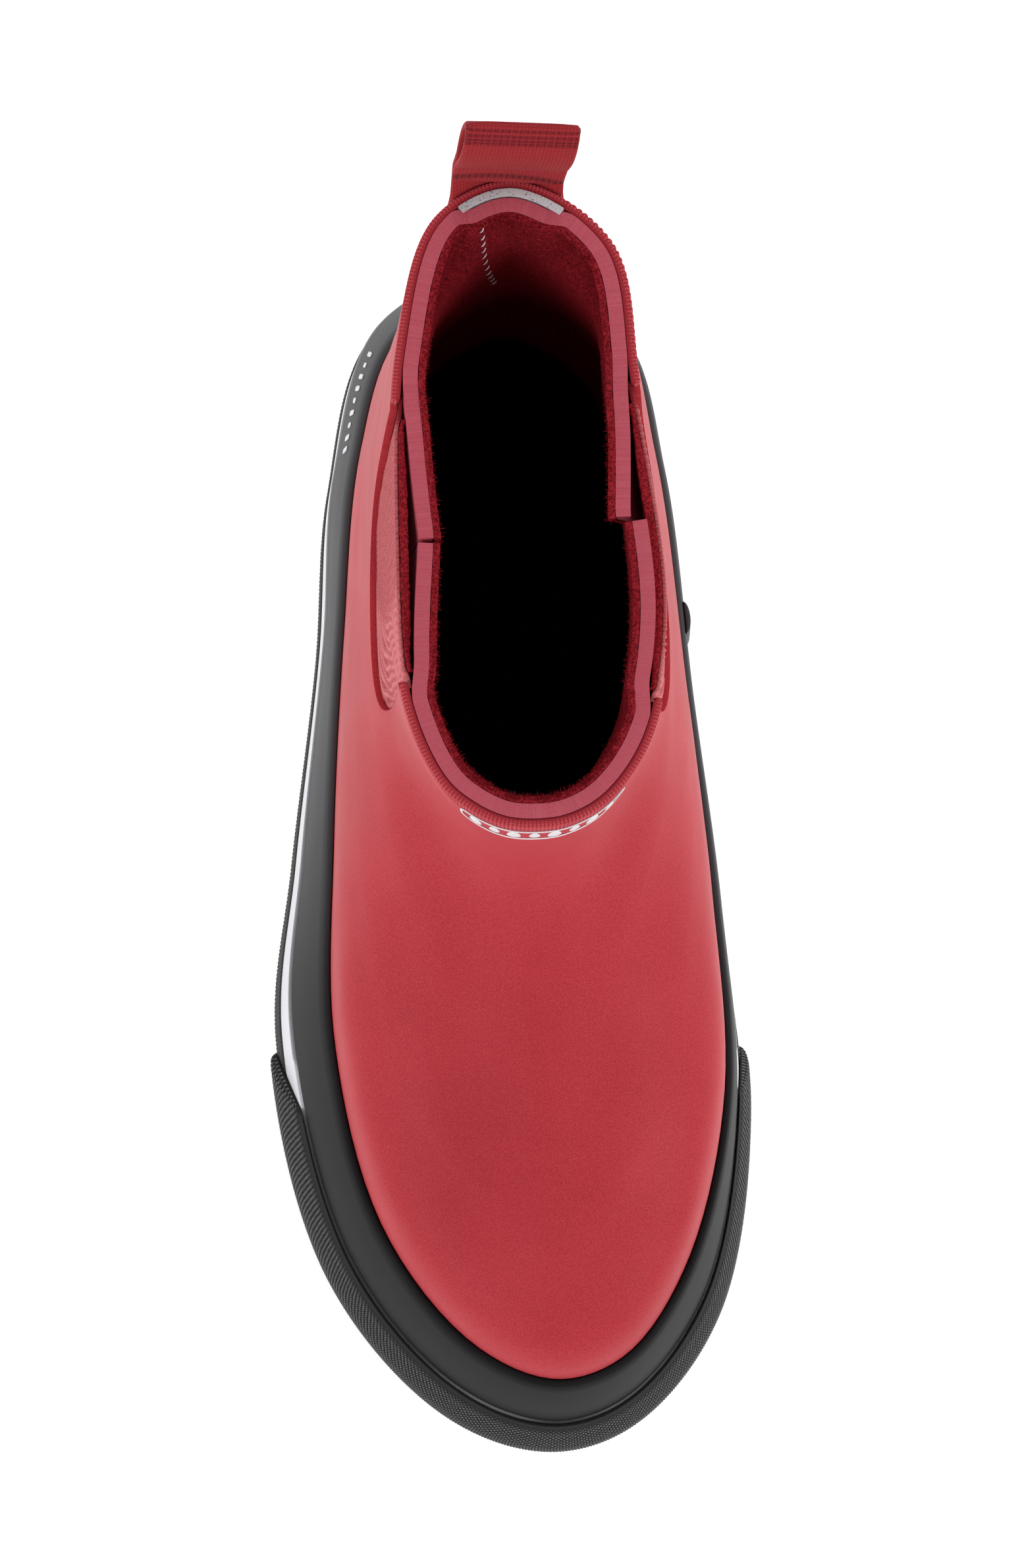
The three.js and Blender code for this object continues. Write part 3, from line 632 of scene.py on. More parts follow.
def strip(name, low, high, out, into, radius, slot_name, nodes, shape=None, step=1.2, rows=14):
    """A band round the sole between two heights; out and into say how far it lies inside the sole's side."""
    us, _ = even(lambda u: side(u, (low + high) / 2, 0), 0, 1, step)
    heights, depths = section(low, high, out, into, radius, steps=rows)
    u, z = np.meshgrid(us[:-1], heights)
    depth = np.broadcast_to(depths[:, None], u.shape).copy()
    if shape:
        depth = depth + shape(u, z, depth)
    return dress(tube(name, side(u, z, -depth), around=True), slot_name, *nodes)


def foxing_shape(u, z, depth):
    """A slight swell between the foxing's edges, on its outer face."""
    outside = depth < 1.2
    crown = 0.35 * smooth(z, FOXING_TOP - 2.2, FOXING_TOP)
    swell = -0.35 * np.sin(math.pi * np.clip((z - BEAD_TOP) / (FOXING_TOP - BEAD_TOP), 0, 1))
    return np.where(outside, swell + crown, 0)


strip("foxing_strip", BEAD_TOP + 0.1, FOXING_TOP, 0.1, 2.0, 0.7, "charcoal_rubber", ["foxing_band"],
      foxing_shape, step=1.0, rows=20)


def under_bumper(u, z, depth):
    """Sinks the piping where the bumper covers it."""
    place_round = np.where(u > 0.5, u - 1, u)
    past_start = smooth(place_round, BUMPER_FROM + 0.004, BUMPER_FROM + 0.012)
    before_end = smooth(place_round, BUMPER_TO - 0.004, BUMPER_TO - 0.012)
    return 1.6 * past_start * before_end


strip("grey_piping", TAPE_TOP - 0.1, BEAD_TOP, -0.25, 2.4, 0.75, "grey_rubber", ["pinstripe_bead"],
      under_bumper)
strip("white_sidewall", OUTSOLE_THICKNESS, TAPE_TOP, 0.0, 3.0, 0.3, "white_rubber", ["sidewall_tape"])


def spine_of(edge, toe, heel):
    """The middle line that the points of a sole's edge are drawn in to, between two lengths."""
    y = np.clip(edge[:, 1], toe, heel)
    x = np.interp(y, (toe, -40, 20, heel), (8, 2, -1, -3))
    return np.stack([x, y, np.zeros_like(y)], -1)


def pad(name, rings):
    """An object over rings that close around, from its top's middle to its other side's."""
    points = np.stack(rings)
    quads, laid = grid_parts(points, around=True)
    return make(name, points.reshape(-1, 3), quads.tolist(), laid.reshape(-1, 3))


def tread_outsole():
    """The outsole: a ribbed side, and an underside of cross lugs with a rim."""
    us, lengths = even(lambda u: side(u, OUTSOLE_THICKNESS / 2, 0), 0, 1, 0.3)
    us, lengths = us[:-1], lengths[:-1]
    ribs = 0.22 * np.abs(np.sin(lengths * math.pi / 0.95))
    rim_rows = [(OUTSOLE_THICKNESS, -3.5), (OUTSOLE_THICKNESS, -0.6), (OUTSOLE_THICKNESS - 0.15, 0.15)]
    rim_rows += [(z, 0.35) for z in (8.4, 7, 5.5, 4, 2.5, 1.2)] + [(0.4, 0.1), (0.05, -0.4)]
    rings = []
    for z, proud in rim_rows:
        ribbed = ribs * (0.3 < z < 8.8)
        rings.append(side(us, np.full_like(us, z), proud + ribbed - 0.25))
    edge = rings[-1]
    spine = spine_of(edge, -100, 108)
    first_groove = 117.5
    for share in np.linspace(0.02, 1, 44):
        inner = edge + (spine - edge) * share
        phase = np.abs((inner[:, 1] + first_groove + GROOVE_PITCH / 2) % GROOVE_PITCH - GROOVE_PITCH / 2)
        groove = 1 - smooth(phase, GROOVE_WIDTH / 2 - 0.5, GROOVE_WIDTH / 2 + 0.5)
        arch = smooth(inner[:, 1], -6, 8) * (1 - smooth(inner[:, 1], 52, 66))
        depth = np.maximum(groove * smooth(share, 0.1, 0.16), 0.9 * arch * smooth(share, 0.12, 0.2))
        inner[:, 2] = GROOVE_DEPTH * depth
        rings.append(inner)
    lid = spine + (0, 0, OUTSOLE_THICKNESS)
    return dress(pad("tread_outsole", [lid, *rings]), "outsole_rubber", "outsole")


tread_outsole()


def knurled_bumper():
    """The toe bumper: a thick band, finely knurled but for its top, with slanted ends."""
    us, lengths = even(lambda u: side(u, 10.0, 2), BUMPER_FROM, BUMPER_TO, 0.24)
    heights, depths = section(BUMPER_LOW, BUMPER_HIGH, -1.0, -GAP, 0.34, steps=92)
    u, z = np.meshgrid(us, heights)
    share = (depths - depths.min()) / (depths.max() - depths.min())
    along = np.cos(math.pi / 2 * np.minimum(1, np.abs(u) / BUMPER_TO))
    bulge = smooth(z, BUMPER_HIGH + 1, 9.5) * (0.6 + 0.4 * smooth(z, 0, 8))
    thickness = (1.8 + 2.2 * along) * (0.16 + 0.84 * bulge)
    ends = np.minimum(lengths, lengths[-1] - lengths)[None, :]
    thickness = thickness * np.sqrt(np.clip(1 - (1 - np.clip(ends / 1.4, 0, 1)) ** 2, 0.02, 1))
    x, y = lengths[None, :] / 0.98, z / 0.98
    pitch = 1.36
    diamond = np.abs(np.sin((x + y) * math.pi / pitch)) * np.abs(np.sin((x - y) * math.pi / pitch))
    rough = (1 - smooth(z, 19.0, 21.4)) * smooth(z, BUMPER_LOW, BUMPER_LOW + 1.5)
    outside = (1 - share[:, None]) ** 0.5
    proud = GAP + thickness * (1 - share[:, None]) + outside * rough * 0.45 * (diamond - 0.3)
    limit = np.where(u < 0, -BUMPER_FROM, BUMPER_TO)
    slanted = u * (1 - BUMPER_SLANT / limit * (z / BUMPER_HIGH))
    made = tube("knurled_bumper", side(slanted, z, proud), mask=outside * rough * smooth(diamond, 0.45, 0.95))
    return dress(made, "bumper_rubber", "toe_bumper")


knurled_bumper()


def foxing_overlap():
    """The little lap where the foxing's two ends meet."""
    middle, half = 0.3325, 0.0042
    us = np.linspace(middle - half, middle + half, 26)
    heights, depths = section(BEAD_TOP + 1.2, FOXING_TOP - 0.8, -1.3, -0.05, 0.5, steps=16)
    u, z = np.meshgrid(us, heights)
    share = (u - us[0]) / (us[-1] - us[0])
    lift = np.sqrt(np.clip(1 - (2 * share - 1) ** 2, 0.01, 1))
    proud = -depths[:, None] * lift
    return dress(tube("foxing_overlap", side(u, z, proud)), "charcoal_rubber", "foxing_joint")


foxing_overlap()


# ---- Gores ----
class Gore:
    """An elastic panel in a rounded cut: where its edges lie, row by row."""

    def __init__(self, name, centre, rear, front, width):
        self.name, self.centre, self.rear, self.front, self.width = name, centre, rear, front, width
        self.low, self.high = 3.08, TOP_ROW - 0.07

    def spread(self, v):
        t = np.clip((v - self.low) / (self.high - self.low), 0, 1)
        return (1 - (1 - t) ** 2.5) ** 0.42

    def edge(self, v, end):
        return self.centre + (end - self.centre) * self.spread(v)

    def span(self, v, margin, count):
        """From edge to edge, margin past them: places round the boot, their share of the way, the width."""
        share = np.linspace(0, 1, count)[None, :]
        start = self.edge(v, min(self.rear, self.front)) - margin
        end = self.edge(v, max(self.rear, self.front)) + margin
        return start + (end - start) * share, share, np.maximum((end - start) * MM_PER_TURN, 1)


LEFT = Gore("left", 0.692, 0.644, 0.742, 0.06)
RIGHT = Gore("right", 0.325, 0.374, 0.261, 0.066)


def opened(s, v, gore, end, reach):
    """How far columns near a gore's cut are pushed aside, so that the last follows its scalloped edge."""
    scallop = 0.0007 * np.abs(np.sin(v * MM_PER_ROW * math.pi)) * smooth(v, gore.low + 0.02, gore.low + 0.1)
    push = gore.edge(v, end) - gore.centre - np.sign(end - gore.centre) * scallop
    weight = np.clip(1 - np.abs(s - gore.centre) / reach, 0, 1)
    return push * weight


def rubber_upper():
    """The rubber upper, with a scalloped cut for each gore."""
    low_rows = np.concatenate([[-1, -0.5, -0.12, -0.03], np.linspace(0.02, 2.98, 62)])
    grown = np.linspace(0, 1, 300) ** 1.25
    rows = np.concatenate([low_rows, LEFT.low + (TRIM_ROW - LEFT.low) * grown])
    v = rows[:, None]
    patches = []
    for start, end, first, second in (
        (LEFT.centre - 1, RIGHT.centre, (LEFT, LEFT.front), (RIGHT, RIGHT.front)),
        (RIGHT.centre, LEFT.centre, (RIGHT, RIGHT.rear), (LEFT, LEFT.rear)),
    ):
        in_front = start < 0
        s = np.linspace(0, 1, 96 if in_front else 64)
        s = (start + (end - start) * (s - 0.06 * np.sin(TURN * s)))[None, :]
        second_reach = 0.13 if in_front else 0.1
        u = s + opened(s + in_front, v, *first, 0.1) + opened(s, v, *second, second_reach)
        point = skin(u, v, np.zeros_like(u))
        waves = 0.07 * mottle(point, 30) + 0.03 * mottle(point + 40, 9)
        patches.append(point + wall_normal(u, v) * waves[..., None] * smooth(v, 0, 0.3)[..., None])
    for patch, other in ((patches[0], patches[1]), (patches[1], patches[0])):
        shut = rows <= LEFT.low
        other[shut, 0] = patch[shut, -1]
    return dress(walled("rubber_upper", patches, SHELL, 0.3), "red_rubber", "rubber_shell")


rubber_upper()


def gore_face(gore, v, inset):
    """How far the panel stands out of its sunk margin: 0 at the cut's edge, 1 over its face."""
    return smooth(inset, 2.0, 3.2) * smooth((v - gore.low) * MM_PER_ROW, 12, 14)


def gore_panel(gore):
    """The elastic panel: a sunk margin under the rubber's edge, painted darker as the shade in that groove,
    and a ribbed face that stands out, with painted highlights on the crests of its ripples and stitches.
    """
    heights, depths = section(gore.low - 0.05, gore.high, 0.0, 0.8, 0.35, ROWS_PER_MM, steps=150)
    v = heights[:, None]
    u, across, width = gore.span(v, margin=0.0035, count=110)
    inset = np.minimum(across, 1 - across) * width
    rise = (v - gore.low) * MM_PER_ROW
    inside = gore_face(gore, v, inset)
    place_along = across * width
    from_front = place_along if gore.front < gore.rear else width - place_along
    puckered = 1 - smooth(from_front, 11, 15)
    bend = 2.4
    nearest = -bend * np.log(np.exp(-from_front / bend) + np.exp(-rise * 0.32 / bend))
    wander = nearest + 0.3 * np.sin(rise / 3.1 + from_front / 2)
    ripple = np.sin(wander * TURN / 1.25)
    right, left = place_along * TURN / 1.5 + rise * TURN / 2.4, place_along * TURN / 1.5 - rise * TURN / 2.4
    stitch = np.sin(right) * np.sin(left)
    face = np.maximum(inside, puckered)
    outer = (depths[:, None] < 0.4) * face
    relief = (0.34 * ripple * puckered + 0.2 * stitch * (1 - puckered)) * outer
    depth = depths[:, None] + 1.62 - 0.55 * inside - relief
    # pale: painted highlight, a light wash over the puckered end that is strongest on its ripples' crests,
    # and on the stitches' crests elsewhere.
    pale = (0.35 + 0.55 * smooth(ripple, -0.2, 0.6)) * puckered
    pale = pale + 0.5 * smooth(stitch, -0.3, 0.6) * (1 - puckered)
    # mask: above 0 is painted shade over the sunk margin, below 0 the painted highlight.
    mask = (1 - inside) * 0.9 * (1 - puckered) - pale * face
    panel = tube("gore_panel_" + gore.name, skin(u, np.broadcast_to(v, u.shape), depth), mask=mask)
    dress(panel, "elastic_gore", "gore_" + gore.name)


def gore_fleece(gore):
    """The brushed backing that shows above the panel's top edge."""
    heights, depths = section(TOP_ROW - 0.95, TOP_ROW - 0.045, 0.0, 0.95, 0.4, ROWS_PER_MM, steps=40)
    v = heights[:, None]
    u, across, width = gore.span(v, margin=-0.004, count=150)
    inset = np.minimum(across, 1 - across) * width
    inside = gore_face(gore, v, inset + 2.4)
    thick = 1 + 0.8 * inside * smooth(inset, 1, 7)
    point = skin(u, np.broadcast_to(v, u.shape), depths[:, None] * thick + 2.46 - 0.53 * inside)
    fuzz = 0.16 * mottle(point, 0.7) + 0.1 * mottle(point + 9, 0.35)
    point = point + wall_normal(u, v) * fuzz[..., None]
    made = dress(tube("gore_fleece_" + gore.name, point), "fleece_lining", "gore_backing_" + gore.name)


for gore in (LEFT, RIGHT):
    gore_panel(gore)
    gore_fleece(gore)


# ---- Knit binding round the collar ----
BOUND_DEPTH = 1.78


def collar_knit(name, start, end, node_name):
    """Ribbed knit bound over the collar's edge: ribs run over it."""
    us, lengths = even(lambda u: wall(u, np.full_like(u, TOP_ROW - 0.03)), start, end, 0.15)
    heights, depths = section(TRIM_ROW - 0.004, TOP_ROW, 0.0, BOUND_DEPTH, 0.62, ROWS_PER_MM, 22)
    u, v = np.meshgrid(us, heights)
    point = wall(u, v)
    coarse = smooth(point[..., 1], 58, 70) * smooth(point[..., 0], 2, 10)
    fine_rib = 0.13 * (np.abs(np.sin(lengths * math.pi / 0.75))[None, :] - 0.5)
    coarse_rib = 0.34 * (np.abs(np.sin(lengths * math.pi / 1.45))[None, :] - 0.5)
    rib = fine_rib * (1 - coarse) + coarse_rib * coarse
    taper = np.minimum(lengths, lengths[-1] - lengths)[None, :]
    shrink = np.sqrt(np.clip(1 - (1 - np.clip(taper / 0.9, 0, 1)) ** 2, 0.05, 1))
    depth = BOUND_DEPTH / 2 + (depths[:, None] - BOUND_DEPTH / 2) * shrink
    outward = 1 - smooth(depths[:, None], 0.3, 1.1)
    top = smooth(v, TOP_ROW - 0.04, TOP_ROW)
    point = skin(u, v, depth - rib * outward)
    point[..., 2] += rib * top * outward * 0.8
    # The mask paints the inner half of the binding's top and its inner face darker: painted shade toward the
    # foam.
    return dress(tube(name, point, mask=smooth(depths[:, None], 0.5, 1.1)), "ribbed_knit", node_name)


END_GAP = 0.0012
collar_knit("collar_knit_front", LEFT.front + END_GAP - 1, RIGHT.front - END_GAP, "collar_trim_front")
collar_knit("collar_knit_rear", RIGHT.rear + END_GAP, LEFT.rear - END_GAP, "collar_trim_rear")


# ---- Foam and lining, with a slit at each side ----
SLIT_LEFT, SLIT_RIGHT, SLIT_EDGE = 0.6875, 0.3385, 0.0007
INNER_GIRTH = 300
FRONT_DEPTHS = [(-0.3125, 5.5), (-0.264, 3.6), (-0.25, COLLAR_DEPTH), (0.25, COLLAR_DEPTH), (0.268, 3.5),
                (0.3385, 3.45)]
REAR_DEPTHS = [(0.3385, 6.8), (0.362, 3.6), (0.384, COLLAR_DEPTH), (0.4655, COLLAR_DEPTH), (0.4715, 3.84),
               (0.5405, 3.84), (0.5465, COLLAR_DEPTH), (0.634, COLLAR_DEPTH), (0.652, 3.5), (0.6875, 5.7)]
FLAPS = ((SLIT_LEFT - 1, SLIT_RIGHT, FRONT_DEPTHS), (SLIT_RIGHT, SLIT_LEFT, REAR_DEPTHS))
PILE_GAP = 0.12


def flap_depth(u, v, knots):
    """How deep the foam's outer face lies: even low down, and close behind its neighbours at the collar."""
    at, deep = zip(*knots)
    collar = sum(np.interp(u + d, at, deep) for d in (-0.004, -0.002, 0, 0.002, 0.004)) / 5
    return FOAM_DEPTH + (collar - FOAM_DEPTH) * smooth(v, SLIT_ROW, TOP_ROW - 0.12)


def flaps(depth, low_row, rows_up, columns, rough):
    """The outer face of a layer in two patches, front and rear, that part above the slits' foot."""
    low_rows = np.linspace(low_row, SLIT_ROW - 0.02, 50)
    rows = np.concatenate([low_rows, SLIT_ROW + (TOP_ROW - SLIT_ROW) * rows_up])
    v = rows[:, None]
    patches = []
    for start, end, knots in FLAPS:
        share = np.linspace(0, 1, round(columns * (end - start)))[None, :]
        inset = SLIT_EDGE * smooth(v, SLIT_ROW, SLIT_ROW + 0.04)
        u = start + inset + (end - start - 2 * inset) * share
        point = skin(u, v, flap_depth(u, v, knots) + depth)
        if rough:
            lumps = rough * mottle(point, 1.1) + 0.6 * rough * mottle(point + 31, 0.5)
            ends = smooth(np.minimum(share, 1 - share) * (end - start) * INNER_GIRTH, 0, 1)
            fade = 1 - (1 - ends) * (1 - smooth(v, SLIT_ROW, SLIT_ROW + 0.04))
            point = point + wall_normal(u, v) * (lumps * fade)[..., None]
        patches.append(point)
    shut = rows <= SLIT_ROW
    patches[1][shut, 0] = patches[0][shut, -1]
    patches[0][shut, 0] = patches[1][shut, -1]
    return patches


LINER_ROW = -0.93
foam_rows = np.append(np.linspace(0, 1, 30)[:-1] * 0.985, 1.0)
foam = walled("foam_collar", flaps(0, LINER_ROW, foam_rows, 520, 0), FOAM, 0.5)
dress(foam, "pink_foam", "foam_liner")
pile_rows = np.linspace(0, 1, 60)
lining = walled("fleece_lining", flaps(FOAM + PILE_GAP, LINER_ROW, pile_rows, 760, 0.12), LINING, 0.4)
dress(lining, "fleece_lining", "lining_sock")


def lining_fuzz():
    """Loose fibres along the lining's top edge and down its inner face."""
    rng = np.random.default_rng(11)
    roots, leans = [], []
    for (start, end, knots), count in zip(FLAPS, (6000, 4200)):
        u = rng.uniform(start + SLIT_EDGE, end - SLIT_EDGE, count)
        v = TOP_ROW - 0.5 * rng.random(count) ** 3
        into = np.where(v > TOP_ROW - 0.02, rng.uniform(0.2, 1, count), 1.0) * LINING
        root = skin(u, v, flap_depth(u, v, knots) + FOAM + PILE_GAP + into)
        inward = -wall_normal(u, v)
        roots.append(root)
        upward = np.where(v > TOP_ROW - 0.02, 0.8, 0.2)[:, None] * np.array([0, 0, 1])
        leans.append(unit(inward + upward + rng.normal(0, 0.6, (count, 3))))
    root, lean = np.vstack(roots), np.vstack(leans)
    reach = rng.uniform(0.25, 0.9, (len(root), 1))
    curl = rng.normal(0, 0.25, root.shape)
    made = strands("lining_fuzz", root, root + lean * reach * 0.5 + curl, root + lean * reach + curl, 0.045)
    return dress(made, "fleece_lining")


lining_fuzz()


# ---- Heel tape, seam stitches ----
def heel_tape_strip():
    """The grey tape that binds the lining's back seam at the collar."""
    us, lengths = even(lambda u: wall(u, np.full_like(u, TOP_ROW)), 0.4676, 0.5444, 0.25)
    low, high = TRIM_ROW + 0.014, TOP_ROW + 0.012
    heights, depths = section(low, high, COLLAR_DEPTH, COLLAR_DEPTH + HEEL_TAPE, 0.2, ROWS_PER_MM, 16)
    u, v = np.meshgrid(us, heights)
    rib = 0.05 * np.sin(lengths * TURN / 0.8)[None, :] * smooth(v, TOP_ROW - 0.02, TOP_ROW)
    point = skin(u, v, np.broadcast_to(depths[:, None], u.shape))
    point[..., 2] += rib
    return dress(tube("heel_tape_strip", point), "grey_tape", "heel_tape")


heel_tape_strip()


def seam_stitches():
    """White zigzag stitches down the back seam of the lining."""
    rows = np.linspace(TOP_ROW - 0.06, TOP_ROW - 1.45, 11)
    swing = 0.0018
    u = 0.5388 - (TOP_ROW - rows) * 0.0135
    depth = flap_depth(u, rows, REAR_DEPTHS) + FOAM + LINING + 0.32
    start = skin(u + swing, rows, depth)
    end = skin(u - swing, rows + 0.05, depth)
    middle = (start + end) / 2 - wall_normal(u, rows) * 0.3
    made = strands("seam_stitches", start, middle, end, 0.17, sides=6, stations=7, tip=0.5)
    return dress(made, "badge_print")


seam_stitches()


# ---- Pull tab: one length of webbing, sewn down the back and folded into a loop ----
TAB_MIDDLE = 0.506
HINGE = skin(TAB_MIDDLE, TOP_ROW, -GAP - WEBBING / 2)
FOOT = WEBBING + 0.1
LOOP_DEPTH = 6.5
FRONT_PLY_LOWER = 1.9
TAB_LEAN = math.radians(13)
TAB_TILT = math.radians(5)
TAB_SHIFT = 0.7
TAB_SKEW = 0.05
SWING = FOOT + TAB_WIDTH / 2 * math.sin(TAB_TILT) + GAP


def loop_line(s, front):
    """The loop's middle line at share s of its height: behind, or in front."""
    inset = WEBBING / 2
    swell = np.sin(math.pi * np.minimum(1, s**1.25) * 0.86)
    wide = np.maximum(FOOT - inset, LOOP_DEPTH / 2 * swell - inset) * np.sqrt(1 - np.minimum(s, 1) ** 6)
    low, high = -FOOT + inset * 2.2 - (FRONT_PLY_LOWER if front else 0), TAB_HEIGHT - inset - 0.6
    return np.stack([-wide if front else wide, low + (high - low) * s], -1)


def tab_place(across, y, z):
    """From the loop's own frame to the boot's: it leans back, tilts and stands a little askew."""
    c, s = math.cos(TAB_LEAN), math.sin(TAB_LEAN)
    y1, z1 = y * c + z * s, z * c - y * s
    c, s = math.cos(TAB_TILT), math.sin(TAB_TILT)
    x2, z2 = across * c + z1 * s, z1 * c - across * s
    return np.stack([x2 + TAB_SHIFT + TAB_SKEW * np.maximum(z, 0), y1, z2], -1) + HINGE + (0, 0, SWING)


def pull_tab_webbing():
    """The sewn part and the loop in one length, joined by a short curved bridge where they meet."""
    s = 1 - (1 - np.linspace(0, 1, 60)) ** 1.8
    line = np.vstack([loop_line(s, False), loop_line(s, True)[::-1][1:]])
    line, reach, length = resampled(line, 0.22)
    outward = aside(np.gradient(line, axis=0))
    across, lift = section(-TAB_WIDTH / 2, TAB_WIDTH / 2, -WEBBING / 2, WEBBING / 2, 0.55, steps=34)
    from_crest = reach - length[len(s) - 1]
    grooves = sum(np.exp(-(((from_crest - at) / 0.34) ** 2)) for at in (-0.7, 0.8, 2.1, 3.1, 3.9))
    rim = smooth(np.abs(from_crest), 3.2, 0.0)
    shoulder = 1.2 * rim[None, :] * (np.abs(across[:, None]) / (TAB_WIDTH / 2)) ** 8
    face = (lift < 0)[:, None] * grooves[None, :] * 0.12
    offset = -lift[:, None] - face
    y = line[None, :, 0] + outward[None, :, 0] * (offset - shoulder * 0.5)
    z = line[None, :, 1] + outward[None, :, 1] * (offset - shoulder)
    loop = tab_place(np.broadcast_to(across[:, None], y.shape), y, z)
    rows = np.linspace(TOP_ROW - 0.62, TOP_ROW - 0.03, 90)
    sewn_middle, sewn_width = TAB_MIDDLE + 0.002, 0.071
    u = sewn_middle - across[:, None] / TAB_WIDTH * sewn_width
    u, v = np.broadcast_arrays(u, rows[None, :])
    anchor = skin(u, v, -GAP - WEBBING / 2 + lift[:, None])
    count = 14
    share = smooth(np.arange(count), -1, count)[None, :, None]
    bridge = anchor[:, -1:] * (1 - share) + loop[:, :1] * share
    points = np.concatenate([anchor, bridge, loop], 1)
    from_foot = reach[-1] - reach[None, :]
    shade = 1.6 * np.exp(-(((from_foot - 2.6 + 0.014 * (across[:, None] + 2) ** 2) / 0.8) ** 2))
    # dark: painted shade in the front face's grooves, plus shade, a painted shadow line near the front ply's
    # foot where it meets the collar.
    dark = (lift < 0)[:, None] * (grooves[None, :] + shade)
    mask = np.concatenate([np.zeros((len(across), anchor.shape[1] + count)), dark], 1)
    made = tube("pull_tab_webbing", points, mask=np.clip(mask, 0, 1))
    dress(made, "tab_webbing", "pull_tab_anchor", "pull_tab_loop", body=None)
    foot = place(HINGE)
    start, end = tuple(foot - (0, 0, 0.001)), tuple(foot + (0, 0, 0.0035))
    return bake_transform(made)


pull_tab_webbing()


# ---- Footbed ----
def footbed_pad():
    """The removable footbed: a moulded pad, raised a little round its edge."""
    us = np.linspace(0, 1, 181)[:-1]
    play = 1.0
    inner = FOAM_DEPTH + FOAM + GAP + LINING + play
    base = skin(us, np.full_like(us, BOTTOM_ROW), np.full_like(us, inner))
    spine = spine_of(base, -88, 98)
    low, high = 16.96, 22.2
    below = [(0, low), (0.5, low), (0.9, low + 0.4), (1.0, low + 1.6)]
    above = [(1.0, high - 1.2), (0.99, high - 0.3), (0.97, high), (0.9, high - 0.2), (0.75, high - 0.5)]
    above += [(share, high - 0.7) for share in (0.5, 0.25, 0)]
    points = []
    for share, z in below + above:
        ring_points = spine + (0, 0, z)
        ring_points[:, :2] += (base[:, :2] - ring_points[:, :2]) * share
        points.append(ring_points)
    made = pad("footbed_pad", points)
    dress(made, "footbed_textile", "footbed_foam", "footbed_cover", body="footbed")
    return made


footbed_pad()


# ---- Prints ----
def printed(name, outlines, at, slot_name, *nodes):
    """Low raised marks: each outline is a closed loop of (along, up) in mm about its own place."""
    points, faces = [], []
    for middle, loop in outlines:
        loop = np.asarray(loop, float)
        count, n = len(points), len(loop)
        levels = ((1.0, 0.0), (1.0, 0.6), (0.8, 1.0), (0.0, 1.0))
        for share, height in levels:
            points += [(*(np.asarray(middle) + p * share), height) for p in loop]
        for level in range(len(levels) - 1):
            low, high = count + level * n, count + (level + 1) * n
            faces += [[low + i, low + (i + 1) % n, high + (i + 1) % n, high + i] for i in range(n)]
        faces.append([count + i for i in range(n)][::-1])
    points = np.array(points)
    return dress(make(name, at(points[:, 0], points[:, 1], points[:, 2]), faces), slot_name, *nodes)


BADGE_ROW = TOP_ROW - 0.143
front_us = np.linspace(-0.2, 0.25, 300)
front_lengths = path_length(wall(front_us, np.full(300, BADGE_ROW)))
FRONT_MIDDLE = np.interp(0, front_us, front_lengths)


def on_front(along, up, height):
    """A place on the front of the shaft: along from its middle, up from the badge's middle, and how proud."""
    u = np.interp(np.asarray(along) + FRONT_MIDDLE, front_lengths, front_us)
    return skin(u, BADGE_ROW + np.asarray(up) / MM_PER_ROW, -0.06 - 0.22 * np.asarray(height))


def badge_outline():
    """The badge's frame: a thin line round a long rounded box."""
    left, right, low, high, corner = -16.0, 20.5, -3.1, 2.9, 1.8
    path = []
    x0, x1, y0, y1 = left + corner, right - corner, low + corner, high - corner
    for cx, cy, start in ((x1, y0, -90), (x1, y1, 0), (x0, y1, 90), (x0, y0, 180)):
        for angle in np.radians(np.linspace(start, start + 90, 9)):
            path.append((cx + corner * math.cos(angle), cy + corner * math.sin(angle)))
    line, _, _ = resampled(np.vstack([path, path[:1]]), 0.4)
    out = aside(np.roll(line, -1, 0) - np.roll(line, 1, 0))
    widths, heights = (-0.28, -0.28, -0.2, 0.2, 0.28, 0.28), (0, 0.7, 1, 1, 0.7, 0)
    grid = np.stack([on_front(*(line + out * w).T, np.full(len(line), h)) for w, h in zip(widths, heights)])
    return dress(tube("badge_outline", grid, around=True), "badge_print", "front_badge")


badge_outline()
angles = np.linspace(0, TURN, 29)[:-1]
sine, cosine = np.sin(angles), np.cos(angles)
drop_across = 1.75 * sine * (0.55 + 0.45 * np.cos(angles / 2) ** 2)
drop_up = -2.1 * cosine * np.where(cosine < 0, 1.15, 1)
drop = np.stack([drop_across, drop_up], -1)
DROPS = ((-12.6, 1.0), (-8.4, 0.8), (-4.4, 1.0), (-0.2, 0.8), (3.8, 1.0), (8.0, 0.8), (12.0, 1.0),
         (16.3, 0.8))
printed("badge_drops", [((x, 0.0), drop * k) for x, k in DROPS], on_front, "badge_print")


def on_foxing(along, up, height):
    """A place on the foxing behind the outer gore."""
    middle, girth, row_height = 0.6, 640, 35
    return side(middle + along / girth, row_height + up, 0.28 + 0.2 * np.asarray(height))


bar_across = 0.75 * np.sign(cosine) * np.abs(cosine) ** 0.5
bar_up = 2.3 * np.sign(sine) * np.abs(sine) ** 0.5
bar = np.stack([bar_across, bar_up], -1)
BAR_HEIGHTS = (1, 0.6, 1, 1, 0.6, 1, 0.6, 1, 1)
bars = [((x, 0.0), bar * (1, h)) for x, h in zip(np.arange(-15, 16, 3.4), BAR_HEIGHTS)]
printed("foxing_marks", bars, on_foxing, "badge_print")


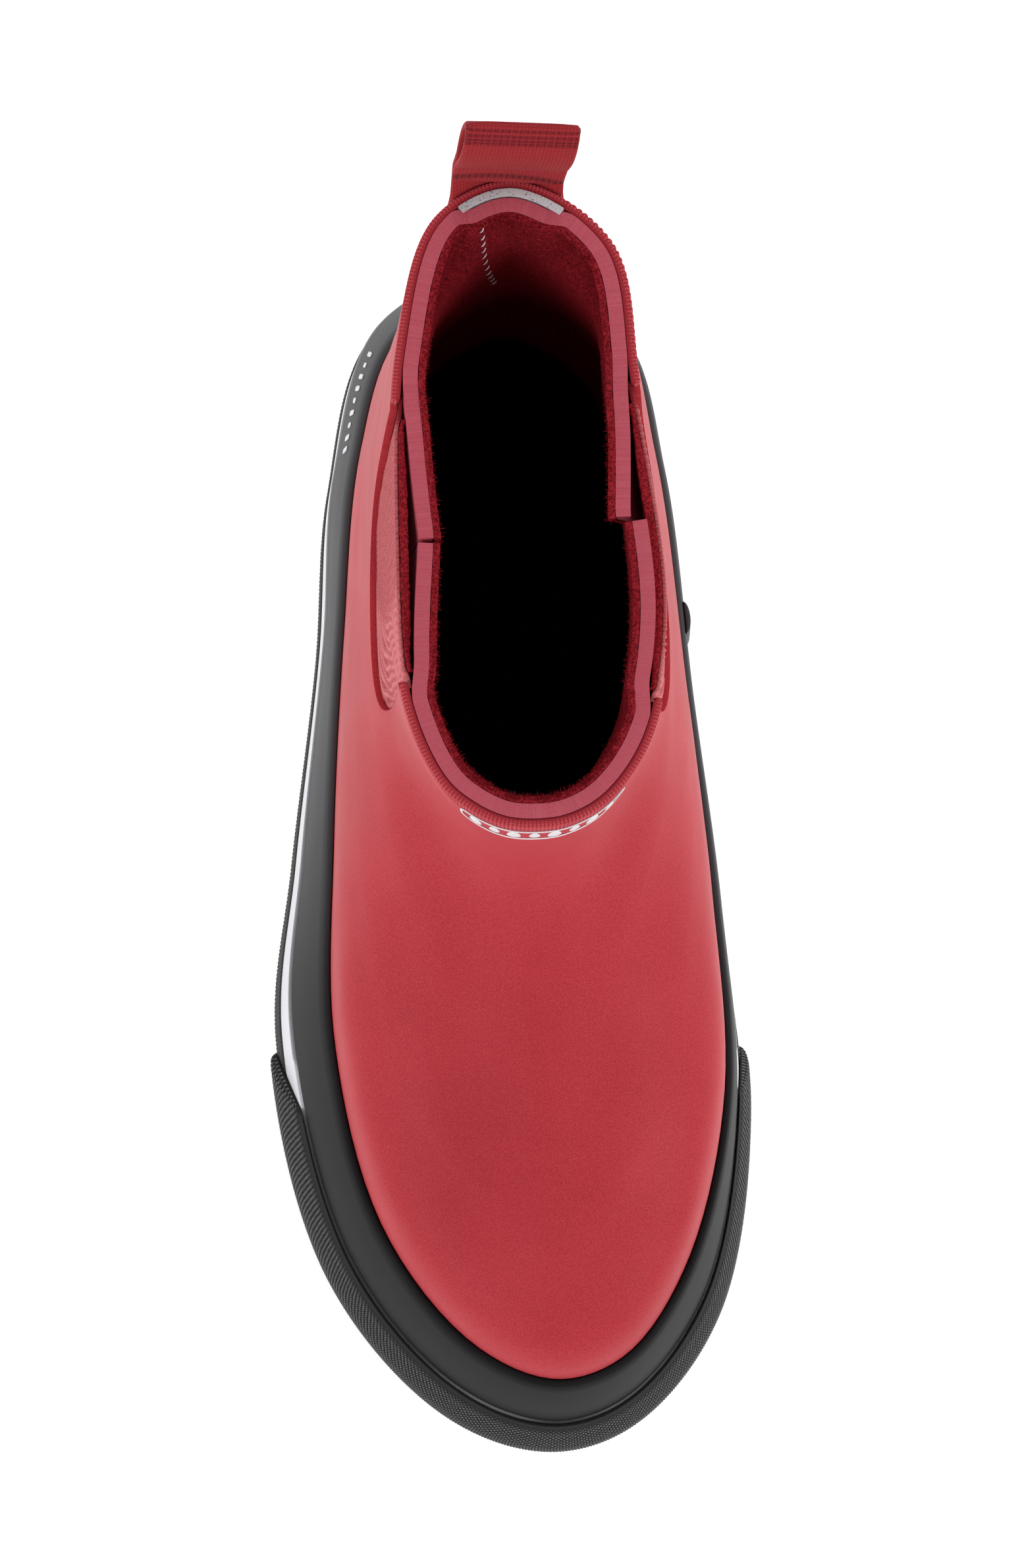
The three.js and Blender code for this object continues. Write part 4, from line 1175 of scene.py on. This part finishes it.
# ---- Floor, light and camera ----
def floor():
    """A wide pale floor that curves up a little toward its edges."""
    span, count = 6.0, 60
    x, y = np.meshgrid(np.linspace(-span, span, count), np.linspace(-span, span, count))
    z = -0.0004 + 0.02 * np.maximum(0, np.hypot(x, y) - 3) ** 2
    quads, _ = grid_parts(np.stack([x, y, z], -1))
    mesh = bpy.data.meshes.new("floor")
    mesh.from_pydata(np.stack([x, y, z], -1).reshape(-1, 3).tolist(), [], quads.tolist())
    made = in_scene("floor", mesh)
    f = Finish("floor_paper", Roughness=0.9, Emission_Color=(1, 1, 1, 1), Emission_Strength=0.62)
    paper = f.mix(f.noise(60, 2), tint(244, 244, 244), tint(250, 250, 250))
    mesh.materials.append(f.dress(paper, None, f.noise(1.5, 2), 0.02))


floor()


def lamp(name, at, aim, size, power):
    data = bpy.data.lights.new(name, "AREA")
    data.shape, data.size, data.energy = "DISK", size, power
    made = in_scene(name, data)
    made.location = at
    made.rotation_euler = (Vector(aim) - Vector(at)).to_track_quat("-Z", "Y").to_euler()


lamp("left_front_softbox", (-1.05, -0.85, 1.05), (0, 0, 0.05), 0.9, 9)
lamp("right_front_softbox", (1.05, -0.6, 1.05), (0, 0, 0.05), 0.7, 7)
lamp("left_softbox", (-1.4, 0.55, 0.45), (0, 0.05, 0.03), 0.7, 1.8)
lamp("right_softbox", (1.3, 0.5, 0.5), (0, 0.05, 0.03), 0.7, 3.2)
lamp("back_softbox", (0.1, 1.3, 1.2), (0, 0, 0.05), 1.0, 5)

world = bpy.data.worlds.new("studio")
world.use_nodes = True
background = world.node_tree.nodes["Background"].inputs
background["Color"].default_value = (1, 1, 1, 1)
background["Strength"].default_value = 0.3
bpy.context.scene.world = world
bpy.context.scene.view_settings.view_transform = "Standard"

EYE, AIM = Vector((-0.0386, -0.1275, 1.0)), Vector((0.0004, 0.0175, 0.0))
camera = in_scene("camera", bpy.data.cameras.new("camera"))
ahead = (AIM - EYE).normalized()
right = ahead.cross(Vector((0, 1, 0))).normalized()
turned = Matrix((right, right.cross(ahead), -ahead)).transposed()
camera.matrix_world = Matrix.Translation(EYE) @ turned.to_4x4()
camera.data.lens = 99.53
camera.data.sensor_width = 36
camera.data.clip_start, camera.data.clip_end = 0.05, 20
bpy.context.scene.camera = camera
